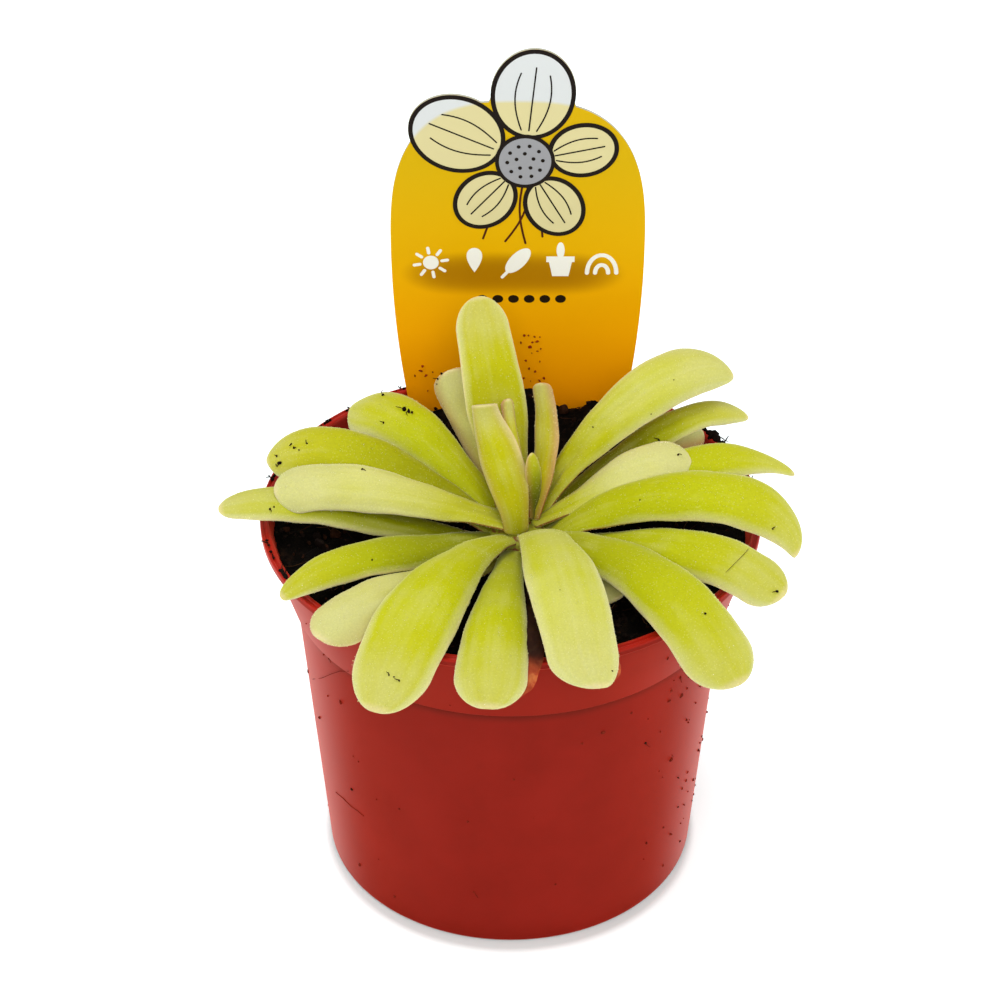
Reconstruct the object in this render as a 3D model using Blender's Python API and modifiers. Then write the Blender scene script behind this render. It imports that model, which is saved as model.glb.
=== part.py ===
"""Potted butterwort: a rosette of fleshy leaves in a small plastic nursery pot, with a push-in plant label.

Metres, +Z up. The origin is the centre of the pot's underside, and the front of the pot faces -Y.
"""

import math

import bmesh
import bpy
import numpy as np
from mathutils import Vector

MM = 0.001
GAP = 0.3  # clearance between neighbouring pieces, mm

# Nursery pot, mm
POT_HEIGHT = 73.3
RIM_RADIUS = 45.0
LIP_WIDTH = 2.4
COLLAR_BOTTOM = 58.0
COLLAR_RADIUS = 39.2
BASE_RADIUS = 33.8
WALL = 1.2
FLOOR = 1.8
DRAIN_HOLES = 6
DRAIN_RADIUS = 3.2
DRAIN_RING = 23.0
POT_INSIDE = [  # height and radius up the inside of the pot
    (FLOOR, BASE_RADIUS - WALL - 0.8), (FLOOR + 0.9, BASE_RADIUS - WALL),
    (COLLAR_BOTTOM - 0.6, COLLAR_RADIUS - WALL - 0.5), (COLLAR_BOTTOM + 0.4, COLLAR_RADIUS - WALL + 0.1),
    (POT_HEIGHT - 3.2, RIM_RADIUS - LIP_WIDTH - 0.7), (POT_HEIGHT - 0.7, RIM_RADIUS - LIP_WIDTH - 0.1),
    (POT_HEIGHT, RIM_RADIUS - LIP_WIDTH + 0.5),
]

# Peat, mm
SOIL_EDGE = 70.2
SOIL_MIDDLE = 64.2
SOIL_MOUND = 1.9
SOIL_GRID = 26
SOIL_TOP = 80.0  # the holes in the peat are cut from here down

# Rootstock in the middle of the rosette, mm
CROWN_X, CROWN_Y = 1.0, -3.0
CROWN_HOLE_RADIUS = 6.2
CROWN_HOLE_BOTTOM = 55.4
CROWN_PROFILE = [(0, 72.2), (3.2, 72.1), (4.6, 71.8), (5.2, 71), (5.5, 69.6), (5.9, 67.8), (5.9, 66),
                 (5.7, 64), (4.6, 60), (3.2, 56.4), (0, 56)]

# Plant label, mm
LABEL_Y = 36.0
LABEL_THICK = 0.6
CARD_X, CARD_Z = 1.35, 107.0  # middle of the card, at its widest
CARD_HALF_WIDTH = 23.25
CARD_UP = 29.5
CARD_DOWN = 34.2
SPIKE_HALF_WIDTH = 4.5
SPIKE_BOTTOM = 56.0
FLOWER_X, FLOWER_Z = 2.6, 124.5  # the printed flower, whose upper petals stand over the card's edge
PETAL_REACH = 22.3
PETAL_HALF_WIDTH = 7.6
PETAL_ANGLES = (84, 156)
LABEL_POINTS = 110

# Leaves. Each runs on a curve from the rootstock to its tip:
#   tip          where it ends, mm
#   base         direction (deg), distance (mm) and height (mm) of its foot, round the rootstock
#   rise, fall   slope of the midrib at the foot and at the tip, deg above level
#   swing, hook  how far the heading turns from the straight line, at the foot and at the tip, deg
#   width, neck  widest and at the foot, mm; swell is where along the leaf it is widest
#   taper        width kept before the rounded end; point is how long that end is, in half widths
#   blunt        how square that end is: 2 is a half ellipse, and less is more pointed
#   curl         how far each half of the blade bends down at its margin, deg
#   roll         tilt of the outer blade about its midrib, deg
#   thick        thickest, mm
#   reach, hang  how far the slopes at the foot and at the tip carry, in shares of the straight length
LEAF_DEFAULT = dict(swing=0, hook=0, neck=4.2, swell=0.65, taper=1.0, point=1.0, blunt=2.0, curl=40, roll=0,
                    thick=2.0, reach=0.4, hang=0.35)
LEAVES = {
    # heart of the rosette
    "leaf_back_tall": dict(tip=(-5.8, 22, 104.5), base=(100, 5.3, 72), rise=72, fall=52,
                           width=11.5, neck=5, swell=0.5, taper=0.85, curl=25),
    "leaf_heart_folded": dict(tip=(-5, 6.4, 90.6), base=(-60, 0.8, 72.5), rise=88, fall=-45,
                              width=7.4, neck=4.4, swell=0.5, curl=15, thick=1.6, hang=0.16),
    "leaf_heart_sliver": dict(tip=(0.8, 9, 91), base=(62, 2.9, 72.9), rise=80, fall=75,
                              width=2.8, neck=2.2, curl=30, thick=1.3, swing=15),
    "leaf_heart_right": dict(tip=(5.6, 14.5, 90.5), base=(60, 4.7, 72.6), rise=75, fall=60,
                             width=4.8, neck=3, swell=0.4, curl=25, thick=1.3, swing=-45, hook=30),
    "leaf_heart_small": dict(tip=(3.8, -1, 85.5), base=(18, 4.1, 72.6), rise=80, fall=70,
                             width=3.2, neck=2.4, swell=0.5, curl=25, thick=1.3),
    "leaf_back_pale": dict(tip=(-11, 22.3, 88.5), base=(90, 6.5, 68.6), rise=35, fall=60,
                           width=8.8, neck=4, swing=-20, hook=15, roll=-20),
    # right side
    "leaf_right_raised": dict(tip=(40, 20.4, 89.2), base=(47, 5.6, 71.9), rise=58, fall=-42,
                              width=12, neck=4.1, point=2.0, blunt=1.6, roll=25, swing=6, hang=0.3),
    "leaf_right_back": dict(tip=(43, 18.6, 80.8), base=(38, 6.3, 68), rise=30, fall=-28,
                            width=8.8, neck=4, point=1.8, roll=15, swing=-2),
    "leaf_right_pale": dict(tip=(31.4, 3.2, 81.1), base=(11, 5.9, 71.5), rise=37.5, fall=-6,
                            width=10.2, neck=3.8, curl=20, roll=20),
    "leaf_right_low": dict(tip=(51.5, 7.4, 76), base=(16, 6.3, 66.7), rise=20, fall=-34,
                           width=10.2, neck=4, point=2.0, roll=12, hang=0.32),
    "leaf_right_broad": dict(tip=(51, -16, 75.8), base=(-15, 6.2, 69.2), rise=38, fall=-62,
                             width=12.8, point=2.0, blunt=1.7, roll=14, swing=3, hook=-15),
    "leaf_right_front": dict(tip=(47, -28, 74.7), base=(-31, 6.4, 67.4), rise=24, fall=-36,
                             width=11.4, neck=4, roll=12, swing=5),
    "leaf_right_tip": dict(tip=(35.5, 21.5, 75.6), base=(52, 6.4, 66.4), rise=12, fall=-22,
                           width=8, neck=3.6, swing=6),
    "leaf_right_under": dict(tip=(36, -11.5, 72.2), base=(-9, 7.4, 66), rise=10, fall=-12,
                             width=9, neck=3.4),
    # front
    "leaf_front_right": dict(tip=(38, -48.5, 71), base=(-54, 6.2, 68.8), rise=33, fall=-40,
                             width=14.5, neck=4.6, swing=4),
    "leaf_front_under": dict(tip=(21.5, -30, 72.5), base=(-60, 7, 66.3), rise=13, fall=-20,
                             width=9, neck=3.4),
    "leaf_front_pale": dict(tip=(13, -54, 75), base=(-50, 4.8, 72.4), rise=42, fall=-42,
                            width=13, neck=7.5),
    "leaf_front_middle": dict(tip=(-4.6, -55, 71.5), base=(-100, 6.4, 67), rise=25, fall=-38,
                              width=13.8, neck=4.6),
    "leaf_front_broad": dict(tip=(-23, -56, 71.5), base=(-112, 5.8, 70), rise=33, fall=-38,
                             width=15, neck=5, swing=6),
    # left side
    "leaf_left_pale_low": dict(tip=(-33.5, -39, 74.4), base=(-130, 6.7, 66.6), rise=14, fall=-24,
                               width=11, neck=3.8, roll=-8),
    "leaf_left_front": dict(tip=(-40, -28, 75.5), base=(-150, 6, 69.4), rise=22, fall=-28,
                            width=10.4, point=1.6, roll=-10, swing=-3),
    "leaf_left_pale": dict(tip=(-42, -4, 80.3), base=(-179, 5.2, 71.7), rise=34, fall=-18,
                           width=12, neck=4.6, roll=-28, swing=2),
    "leaf_left_low": dict(tip=(-52, -4.5, 75.6), base=(-178, 6.3, 67), rise=17, fall=-14,
                          width=9, neck=4, point=1.7, roll=-8),
    "leaf_left_back": dict(tip=(-44, 7.4, 78.2), base=(165, 6, 68.6), rise=36, fall=-45,
                           width=11, roll=-18, swing=-8),
    "leaf_back_spoon": dict(tip=(-29, 26.4, 79), base=(126, 6, 69.2), rise=42, fall=-42,
                            width=14.2, neck=4, roll=-10, swing=-3),
    # dead leaves that lie over the rim under the front ones
    "withered_leaf_left": dict(tip=(6.9, -50.2, 69.8), base=(-82, 10, 66.1), rise=12, fall=-66,
                               width=5.2, neck=3, curl=12, thick=0.9, hang=0.3),
    "withered_leaf_right": dict(tip=(17, -50, 71.5), base=(-75, 11, 68), rise=24, fall=-46,
                                width=8, neck=3, curl=12, thick=0.9),
}
LEAF_AROUND = 12
LEAF_ALONG = 15

PALE_LEAVES = ("leaf_right_pale", "leaf_left_pale", "leaf_left_pale_low", "leaf_front_pale", "leaf_back_pale")


def clear_scene():
    for old in list(bpy.data.objects):
        bpy.data.objects.remove(old, do_unlink=True)


def make_collection(name, parent):
    collection = bpy.data.collections.new(name)
    parent.children.link(collection)
    return collection


def linear(hex_colour):
    """An sRGB hex colour as linear RGBA."""
    values = [int(hex_colour[i:i + 2], 16) / 255 for i in (1, 3, 5)]
    return [v / 12.92 if v <= 0.04045 else ((v + 0.055) / 1.055) ** 2.4 for v in values] + [1.0]


def make_material(name, colour, roughness, subsurface=0.0):
    material = bpy.data.materials.new(name)
    material.use_nodes = True
    shader = material.node_tree.nodes["Principled BSDF"]
    shader.inputs["Base Color"].default_value = linear(colour)
    shader.inputs["Roughness"].default_value = roughness
    shader.inputs["Metallic"].default_value = 0.0
    shader.inputs["Subsurface Weight"].default_value = subsurface
    shader.inputs["Subsurface Radius"].default_value = (0.002, 0.0015, 0.0005)
    material.diffuse_color = linear(colour)
    return material


def add_object(name, mesh, collection, material, location=(0, 0, 0)):
    obj = bpy.data.objects.new(name, mesh)
    obj.location = location
    collection.objects.link(obj)
    if material:
        mesh.materials.append(material)
    return obj


def turned(name, profile, collection, material, steps, location=(0, 0, 0)):
    """A body of revolution. The profile is (radius, height) in mm, its outer side from top to bottom."""
    mesh = bpy.data.meshes.new(name)
    points = [(r * MM, 0, z * MM) for r, z in profile]
    mesh.from_pydata(points, [(i, i + 1) for i in range(len(points) - 1)], [])
    obj = add_object(name, mesh, collection, material, location)
    screw = obj.modifiers.new("Turn", "SCREW")
    screw.axis = "Z"
    screw.steps = screw.render_steps = steps
    screw.use_merge_vertices = True
    screw.merge_threshold = 0.00001
    screw.use_smooth_shade = True
    return obj


def cylinder_cutter(name, collection, radius, bottom, top, x, y):
    mesh = bpy.data.meshes.new(name)
    bm = bmesh.new()
    bmesh.ops.create_cone(bm, cap_ends=True, segments=24, radius1=radius * MM, radius2=radius * MM,
                          depth=(top - bottom) * MM)
    bm.to_mesh(mesh)
    bm.free()
    return as_cutter(add_object(name, mesh, collection, None, (x * MM, y * MM, (top + bottom) / 2 * MM)))


def box_cutter(name, collection, size, centre):
    mesh = bpy.data.meshes.new(name)
    bm = bmesh.new()
    bmesh.ops.create_cube(bm, size=1.0)
    bmesh.ops.scale(bm, vec=Vector(size) * MM, verts=bm.verts)
    bm.to_mesh(mesh)
    bm.free()
    return as_cutter(add_object(name, mesh, collection, None, Vector(centre) * MM))


def as_cutter(obj):
    obj.hide_render = True
    obj.display_type = "WIRE"
    return obj


def cut(obj, cutter):
    boolean = obj.modifiers.new(cutter.name, "BOOLEAN")
    boolean.operation = "DIFFERENCE"
    boolean.object = cutter


def smooth_step(x):
    x = np.clip(x, 0, 1)
    return x * x * (3 - 2 * x)


def build_pot(collection, cutters, material):
    profile = [(0, FLOOR)] + [(radius, height) for height, radius in POT_INSIDE] + [
        (RIM_RADIUS - 0.7, POT_HEIGHT), (RIM_RADIUS, POT_HEIGHT - 0.7), (RIM_RADIUS - 0.2, POT_HEIGHT - 1.6),
        (RIM_RADIUS - 0.9, POT_HEIGHT - 2.2), (COLLAR_RADIUS, COLLAR_BOTTOM + 0.5),
        (COLLAR_RADIUS - 0.2, COLLAR_BOTTOM), (COLLAR_RADIUS - 0.7, COLLAR_BOTTOM - 0.2),
        (BASE_RADIUS + 0.1, 1.2), (BASE_RADIUS - 0.2, 0.3), (BASE_RADIUS - 0.7, 0), (0, 0),
    ]
    pot = turned("pot", profile, collection, material, 64)
    for i in range(DRAIN_HOLES):
        angle = 2 * math.pi * i / DRAIN_HOLES
        x, y = DRAIN_RING * math.cos(angle), DRAIN_RING * math.sin(angle)
        cut(pot, cylinder_cutter(f"drain_cutter_{i + 1}", cutters, DRAIN_RADIUS, -2, FLOOR + 2, x, y))
    return pot


def inner_radius(z):
    """The pot's inside radius at a height, mm."""
    heights, radii = zip(*POT_INSIDE)
    return float(np.interp(z, heights, radii))


def soil_height(x, y):
    """The peat's uneven surface, mm: dished round the rootstock, and heaped up against the label."""
    radius = math.hypot(x - CROWN_X, y - CROWN_Y)
    level = SOIL_MIDDLE + (SOIL_EDGE - SOIL_MIDDLE) * float(smooth_step((radius - 5) / 36)) ** 0.8
    mound = SOIL_MOUND * math.exp(-((y - 37) / 7) ** 2 - ((x - 1) / 24) ** 2)
    bumps = 0.35 * math.sin(0.55 * x + 1.3) * math.sin(0.48 * y + 0.4) + 0.22 * math.sin(1.1 * x - 0.8 * y)
    return level + mound + bumps


def build_soil(collection, cutters, material):
    """A square grid drawn out to a disc, with its border carried down the inside of the pot."""
    bm = bmesh.new()
    bmesh.ops.create_grid(bm, x_segments=SOIL_GRID, y_segments=SOIL_GRID, size=1.0)
    clearance = GAP + 0.1
    for vert in bm.verts:
        u, v = vert.co.x, vert.co.y
        flat = Vector((u * math.sqrt(1 - v * v / 2), v * math.sqrt(1 - u * u / 2)))
        x, y = flat * inner_radius(SOIL_EDGE)
        height = soil_height(x, y)
        x, y = flat * (inner_radius(height) - clearance)
        vert.co = Vector((x, y, height)) * MM
    rim = [edge for edge in bm.edges if edge.is_boundary]
    for z in (COLLAR_BOTTOM - 0.8, FLOOR + GAP):
        made = bmesh.ops.extrude_edge_only(bm, edges=rim)["geom"]
        for vert in [g for g in made if isinstance(g, bmesh.types.BMVert)]:
            outward = Vector((vert.co.x, vert.co.y, 0)).normalized()
            vert.co = (outward * (inner_radius(z) - clearance) + Vector((0, 0, z))) * MM
        rim = [g for g in made if isinstance(g, bmesh.types.BMEdge)]
    bmesh.ops.contextual_create(bm, geom=rim)
    bmesh.ops.recalc_face_normals(bm, faces=bm.faces)
    mesh = bpy.data.meshes.new("soil")
    bm.to_mesh(mesh)
    bm.free()
    soil = add_object("soil", mesh, collection, material)
    cut(soil, cylinder_cutter("root_hole_cutter", cutters, CROWN_HOLE_RADIUS, CROWN_HOLE_BOTTOM, SOIL_TOP,
                              CROWN_X, CROWN_Y))
    slot_bottom = SPIKE_BOTTOM - 0.5
    slot = (2 * (SPIKE_HALF_WIDTH + 0.4), LABEL_THICK + 2 * GAP, SOIL_TOP - slot_bottom)
    cut(soil, box_cutter("label_slot_cutter", cutters, slot, (CARD_X, LABEL_Y, (SOIL_TOP + slot_bottom) / 2)))
    return soil


def card_reach(angle):
    """Distance from the card's middle to its edge in a direction, mm, with the petals that overhang it."""
    dx, dz = math.cos(angle), math.sin(angle)
    power = 2.8 if dz > 0 else 8.0
    half_height = CARD_UP if dz > 0 else CARD_DOWN
    reach = (abs(dx / CARD_HALF_WIDTH) ** power + abs(dz / half_height) ** power) ** (-1 / power)
    if dz < 0:
        reach *= 1 - 0.035 * abs(dx) * min(1, -dz * reach / CARD_DOWN)
    for turn in PETAL_ANGLES:
        ax, az = math.cos(math.radians(turn)), math.sin(math.radians(turn))
        half_length = PETAL_REACH * 0.40
        px = FLOWER_X + ax * (PETAL_REACH - half_length) - CARD_X
        pz = FLOWER_Z + az * (PETAL_REACH - half_length) - CARD_Z
        # the line through the card's middle against the petal's ellipse, in the ellipse's own axes
        du, dv = (dx * ax + dz * az) / half_length, (dz * ax - dx * az) / PETAL_HALF_WIDTH
        cu, cv = -(px * ax + pz * az) / half_length, -(pz * ax - px * az) / PETAL_HALF_WIDTH
        a, b, c = du * du + dv * dv, du * cu + dv * cv, cu * cu + cv * cv - 1
        if b * b > a * c:
            reach = max(reach, (-b + math.sqrt(b * b - a * c)) / a)
    return reach


def build_label(collection, material):
    """A flat tongue with a spike, as a filled outline extruded to the card's thickness."""
    foot = math.atan2(SPIKE_HALF_WIDTH, CARD_DOWN)
    outline = []
    for i in range(LABEL_POINTS + 1):
        angle = -math.pi / 2 + foot + (2 * math.pi - 2 * foot) * i / LABEL_POINTS
        reach = card_reach(angle)
        outline.append((CARD_X + reach * math.cos(angle), CARD_Z + reach * math.sin(angle)))
    shoulder = SPIKE_BOTTOM + 6
    outline += [(CARD_X - SPIKE_HALF_WIDTH + 0.8, shoulder), (CARD_X, SPIKE_BOTTOM),
                (CARD_X + SPIKE_HALF_WIDTH - 0.8, shoulder)]
    curve = bpy.data.curves.new("label", "CURVE")
    curve.dimensions = "2D"
    curve.fill_mode = "BOTH"
    curve.extrude = LABEL_THICK / 2 * MM
    spline = curve.splines.new("POLY")
    spline.points.add(len(outline) - 1)
    for point, (x, z) in zip(spline.points, outline):
        point.co = (x * MM, z * MM, 0, 1)
    spline.use_cyclic_u = True
    curve.materials.append(material)
    label = bpy.data.objects.new("label", curve)
    label.location = (0, LABEL_Y * MM, 0)
    label.rotation_euler = (math.pi / 2, 0, 0)
    collection.objects.link(label)
    return label


def direction(heading, slope):
    heading, slope = math.radians(heading), math.radians(slope)
    level = math.cos(slope)
    return np.array([math.cos(heading) * level, math.sin(heading) * level, math.sin(slope)])


def midrib(leaf, rings):
    """Share of the length, centre, sideways and upward directions at each ring, and the length in mm."""
    base_heading, base_radius, base_height = leaf["base"]
    foot = np.array([CROWN_X + base_radius * math.cos(math.radians(base_heading)),
                     CROWN_Y + base_radius * math.sin(math.radians(base_heading)), base_height])
    tip = np.array(leaf["tip"], float)
    straight = math.degrees(math.atan2(tip[1] - foot[1], tip[0] - foot[0]))
    chord = np.linalg.norm(tip - foot)
    near = foot + leaf["reach"] * chord * direction(straight + leaf["swing"], leaf["rise"])
    far = tip - leaf["hang"] * chord * direction(straight + leaf["hook"], leaf["fall"])

    u = np.linspace(0, 1, 401)[:, None]
    path = (1 - u) ** 3 * foot + 3 * (1 - u) ** 2 * u * near + 3 * (1 - u) * u ** 2 * far + u ** 3 * tip
    slope = (1 - u) ** 2 * (near - foot) + 2 * (1 - u) * u * (far - near) + u ** 2 * (tip - far)
    along = np.concatenate([[0], np.cumsum(np.linalg.norm(np.diff(path, axis=0), axis=1))])
    length = along[-1]

    t = np.linspace(0, 1, rings + 1)
    share = t - 0.85 * np.sin(2 * math.pi * t) / (2 * math.pi)  # rings lie closer together at both ends
    centres = np.stack([np.interp(share, along / length, path[:, k]) for k in range(3)], 1)
    tangents = np.stack([np.interp(share, along / length, slope[:, k]) for k in range(3)], 1)
    tangents /= np.linalg.norm(tangents, axis=1)[:, None]
    side = direction(straight + leaf["swing"] + 90, 0)
    rolls = np.radians(leaf["roll"] * smooth_step(share / 0.8))
    sides, ups = [], []
    for tangent, roll in zip(tangents, rolls):
        side = side - tangent * side.dot(tangent)
        side /= np.linalg.norm(side)
        up = np.cross(tangent, side)
        sides.append(side * math.cos(roll) + up * math.sin(roll))
        ups.append(up * math.cos(roll) - side * math.sin(roll))
    return share, centres, sides, ups, length


def leaf_outline(leaf, share, length):
    """Half width in mm, and how far the ends have closed, along the leaf."""
    neck, swell = leaf["neck"] / leaf["width"], leaf["swell"]
    body = np.where(share < swell, neck + (1 - neck) * smooth_step(share / swell),
                    1 - (1 - leaf["taper"]) * smooth_step((share - swell) / (1 - swell)))
    end = leaf["point"] * leaf["width"] / 2 / length
    tip = np.sqrt(np.clip(1 - np.clip((share - 1 + end) / end, 0, 1) ** leaf["blunt"], 0, 1))
    foot = np.sqrt(np.clip(1 - np.clip(1 - share * length / 0.9, 0, 1) ** 2, 0, 1))
    return leaf["width"] / 2 * body * tip * foot, tip * foot


def build_leaf(name, shape, collection, material):
    """A UV sphere drawn out along the midrib, with a cross-section of the curved blade at each ring."""
    leaf = {**LEAF_DEFAULT, **shape}
    share, centres, sides, ups, length = midrib(leaf, LEAF_ALONG)
    half_width, closing = leaf_outline(leaf, share, length)
    half_thick = leaf["thick"] / 2 * (0.8 + 0.2 * smooth_step(share / 0.4)) * np.sqrt(closing)
    half_thick *= 1 - 0.3 * smooth_step((share - 0.6) / 0.4)
    bend = math.radians(leaf["curl"]) * smooth_step(share / 0.35)

    bm = bmesh.new()
    bmesh.ops.create_uvsphere(bm, u_segments=LEAF_AROUND, v_segments=LEAF_ALONG, radius=1.0)
    for vert in bm.verts:
        ring = round(math.acos(max(-1.0, min(1.0, vert.co.z))) / math.pi * LEAF_ALONG)
        if ring in (0, LEAF_ALONG):
            vert.co = Vector(centres[ring]) * MM
            continue
        flat = math.hypot(vert.co.x, vert.co.y)
        across, over = vert.co.x / flat, vert.co.y / flat
        angle = bend[ring] * across
        if bend[ring] > 0.001:
            radius = half_width[ring] / bend[ring]
            shift, drop = radius * math.sin(angle), radius * (math.cos(angle) - 1)
        else:
            shift, drop = half_width[ring] * across, 0.0
        skin = half_thick[ring] * over
        sideways, upward = shift + math.sin(angle) * skin, drop + math.cos(angle) * skin
        vert.co = Vector(centres[ring] + sides[ring] * sideways + ups[ring] * upward) * MM
    bmesh.ops.recalc_face_normals(bm, faces=bm.faces)
    for face in bm.faces:
        face.smooth = True
    mesh = bpy.data.meshes.new(name)
    bm.to_mesh(mesh)
    bm.free()
    return add_object(name, mesh, collection, material)


def main():
    clear_scene()
    plant = make_collection("potted_butterwort", bpy.context.scene.collection)
    cutters = make_collection("cutters", bpy.context.scene.collection)

    red_plastic = make_material("red polypropylene", "#A3251C", 0.38)
    peat = make_material("moist peat", "#1E1511", 0.95)
    rootstock = make_material("rootstock", "#9C8A3A", 0.6, 0.1)
    green_leaf = make_material("leaf", "#C3C832", 0.55, 0.2)
    pale_leaf = make_material("pale leaf", "#DDDA80", 0.55, 0.2)
    dead_leaf = make_material("dead leaf", "#A8622C", 0.6, 0.1)
    label_plastic = make_material("printed polystyrene", "#E2A406", 0.35)

    build_pot(plant, cutters, red_plastic)
    build_soil(plant, cutters, peat)
    turned("crown", CROWN_PROFILE, plant, rootstock, 20, (CROWN_X * MM, CROWN_Y * MM, 0))
    build_label(plant, label_plastic)
    for name, shape in LEAVES.items():
        if name.startswith("withered"):
            material = dead_leaf
        else:
            material = pale_leaf if name in PALE_LEAVES else green_leaf
        build_leaf(name, shape, plant, material)


main()
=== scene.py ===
import math
import random

import bmesh
import bpy
import numpy as np
from mathutils import Euler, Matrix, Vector, noise
from mathutils.bvhtree import BVHTree


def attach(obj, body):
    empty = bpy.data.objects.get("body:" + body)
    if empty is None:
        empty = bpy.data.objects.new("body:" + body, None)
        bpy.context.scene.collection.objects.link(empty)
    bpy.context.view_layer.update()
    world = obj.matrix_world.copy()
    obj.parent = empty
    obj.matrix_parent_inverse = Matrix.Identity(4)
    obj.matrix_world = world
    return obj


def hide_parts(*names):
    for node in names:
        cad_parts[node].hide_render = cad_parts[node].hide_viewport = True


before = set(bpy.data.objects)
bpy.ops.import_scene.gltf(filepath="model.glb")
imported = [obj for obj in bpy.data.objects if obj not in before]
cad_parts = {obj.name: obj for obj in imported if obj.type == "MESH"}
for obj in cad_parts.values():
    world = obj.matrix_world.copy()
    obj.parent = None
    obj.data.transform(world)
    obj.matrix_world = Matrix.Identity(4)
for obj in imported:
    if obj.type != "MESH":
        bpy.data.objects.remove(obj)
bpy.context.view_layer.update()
mm = 0.001
print("frame loaded, nodes:", len(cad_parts))


# Small helpers

def linear(hexColour):
    parts = [int(hexColour[i:i + 2], 16) / 255 for i in (1, 3, 5)]
    return [p / 12.92 if p <= 0.04045 else ((p + 0.055) / 1.055) ** 2.4 for p in parts] + [1.0]


smoothly = dict(interpolation_type="SMOOTHSTEP")
inColour = dict(data_type="RGBA")  # a mix of colours: share in 0, the two colours in 6 and 7, result in 2


# Adds a node. Inputs go by place or by name: a plain value fills its socket, and another node's output is
# linked to it. Gives one output, which is also linked to the socket into
def addNode(tree, kind, inputs=(), out=0, into=None, stops=(), **settings):
    node = tree.nodes.new("ShaderNode" + kind)
    for name, value in settings.items():
        setattr(node, name, value)
    for socket, value in (inputs if isinstance(inputs, dict) else dict(enumerate(inputs))).items():
        if isinstance(value, bpy.types.NodeSocket):
            tree.links.new(value, node.inputs[socket])
        else:
            node.inputs[socket].default_value = value
    if stops:
        elements = node.color_ramp.elements
        while len(elements) < len(stops):
            elements.new(0.5)
        for element, (position, colour) in zip(elements, stops):
            element.position = position
            element.color = linear(colour)
    if into:
        tree.links.new(node.outputs[out], into)
    return node.outputs[out]


# Starts a material and gives its node tree and sockets too. A hex colour is turned to linear
def newMaterial(name, colour, roughness, ior=1.5, specular=0.5, **sockets):
    material = bpy.data.materials.new(name)
    material.use_nodes = True
    shader = material.node_tree.nodes["Principled BSDF"]
    sockets.update(Base_Color=colour, Roughness=roughness, IOR=ior, Specular_IOR_Level=specular)
    for socket, value in sockets.items():
        value = linear(value) if isinstance(value, str) else value
        shader.inputs[socket.replace("_", " ")].default_value = value
    return material, material.node_tree, shader.inputs


def addObject(name, data):
    made = bpy.data.objects.new(name, data)
    bpy.context.scene.collection.objects.link(made)
    return made


def meshFrom(bm, name):
    mesh = bpy.data.meshes.new(name)
    bm.to_mesh(mesh)
    bm.free()
    return mesh


def smoothStep(x):
    x = np.clip(x, 0, 1)
    return x * x * (3 - 2 * x)


# The point at a turn on a circle, in x and y, or in x and z
def polar(radius, turn, x=0.0, y=0.0):
    return x + radius * math.cos(turn), y + radius * math.sin(turn)


# Each shape is (points in mm, faces, material number)
def joinShapes(shapes):
    points, faces, numbers, start = [], [], [], 0
    for shapePoints, shapeFaces, number in shapes:
        points.append(np.asarray(shapePoints, float))
        faces += [[i + start for i in face] for face in shapeFaces]
        numbers += [number] * len(shapeFaces)
        start += len(shapePoints)
    return np.concatenate(points), faces, numbers


# Makes one object from its shapes, rides it on the pot and lets it stand for its CAD nodes
def addPiece(name, shapes, materials, nodes=(), marks=None, smooth=True):
    points, faces, numbers = joinShapes(shapes)
    mesh = bpy.data.meshes.new(name)
    mesh.from_pydata((points * mm).tolist(), [], faces)
    for material in materials:
        mesh.materials.append(material)
    mesh.polygons.foreach_set("material_index", numbers)
    mesh.polygons.foreach_set("use_smooth", [smooth] * len(faces))
    for mark, values in (marks or {}).items():
        full = np.zeros(len(points), np.float32)
        full[:len(values)] = values
        mesh.attributes.new(mark, "FLOAT", "POINT").data.foreach_set("value", full)
    mesh.update()
    return keepPiece(addObject(name, mesh), nodes)


def keepPiece(piece, nodes=()):
    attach(piece, "root")
    if nodes:
        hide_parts(*nodes)
    return piece


# Joins rings of points, each ring drawn round the same way, and closes both ends with a fan
def loft(rings):
    rings = np.asarray(rings, float)
    count, around = rings.shape[:2]
    here = np.arange(around)
    ahead = np.roll(here, -1)
    quads = [np.stack([here, ahead, ahead + around, here + around], 1) + r * around for r in range(count - 1)]
    faces = np.concatenate(quads).tolist()
    points = np.concatenate([rings.reshape(-1, 3), [rings[0].mean(0), rings[-1].mean(0)]])
    low, high, last = len(points) - 2, len(points) - 1, (count - 1) * around
    faces += [[low, b, a] for a, b in zip(here.tolist(), ahead.tolist())]
    faces += [[high, last + a, last + b] for a, b in zip(here.tolist(), ahead.tolist())]
    return points, faces


# A thin round stem through the path's points
def tube(path, radii, sides):
    path = np.asarray(path, float)
    slope = np.gradient(path, axis=0)
    slope /= np.linalg.norm(slope, axis=1)[:, None]
    across = np.cross(slope, [0.31, 0.17, 0.93])
    across /= np.linalg.norm(across, axis=1)[:, None]
    over = np.cross(slope, across)
    turn = np.linspace(0, 2 * math.pi, sides, endpoint=False)
    radii = np.broadcast_to(radii, len(path))
    ring = np.cos(turn)[None, :, None] * across[:, None] + np.sin(turn)[None, :, None] * over[:, None]
    return loft(path[:, None] + ring * radii[:, None, None])


# Turns each (radius, height, rounding) corner of a profile into a short arc, mm
def roundCorners(profile, steps=4):
    points = []
    for i, (radius, height, rounding) in enumerate(profile):
        corner = Vector((radius, height))
        if rounding == 0 or i in (0, len(profile) - 1):
            points.append(corner)
            continue
        back = (Vector(profile[i - 1][:2]) - corner).normalized() * rounding
        ahead = (Vector(profile[i + 1][:2]) - corner).normalized() * rounding
        for t in (k / steps for k in range(steps + 1)):
            points.append(corner + back * (1 - t) ** 2 + ahead * t ** 2)
    return points


# Camera at the photograph's angle, mm and degrees

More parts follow.
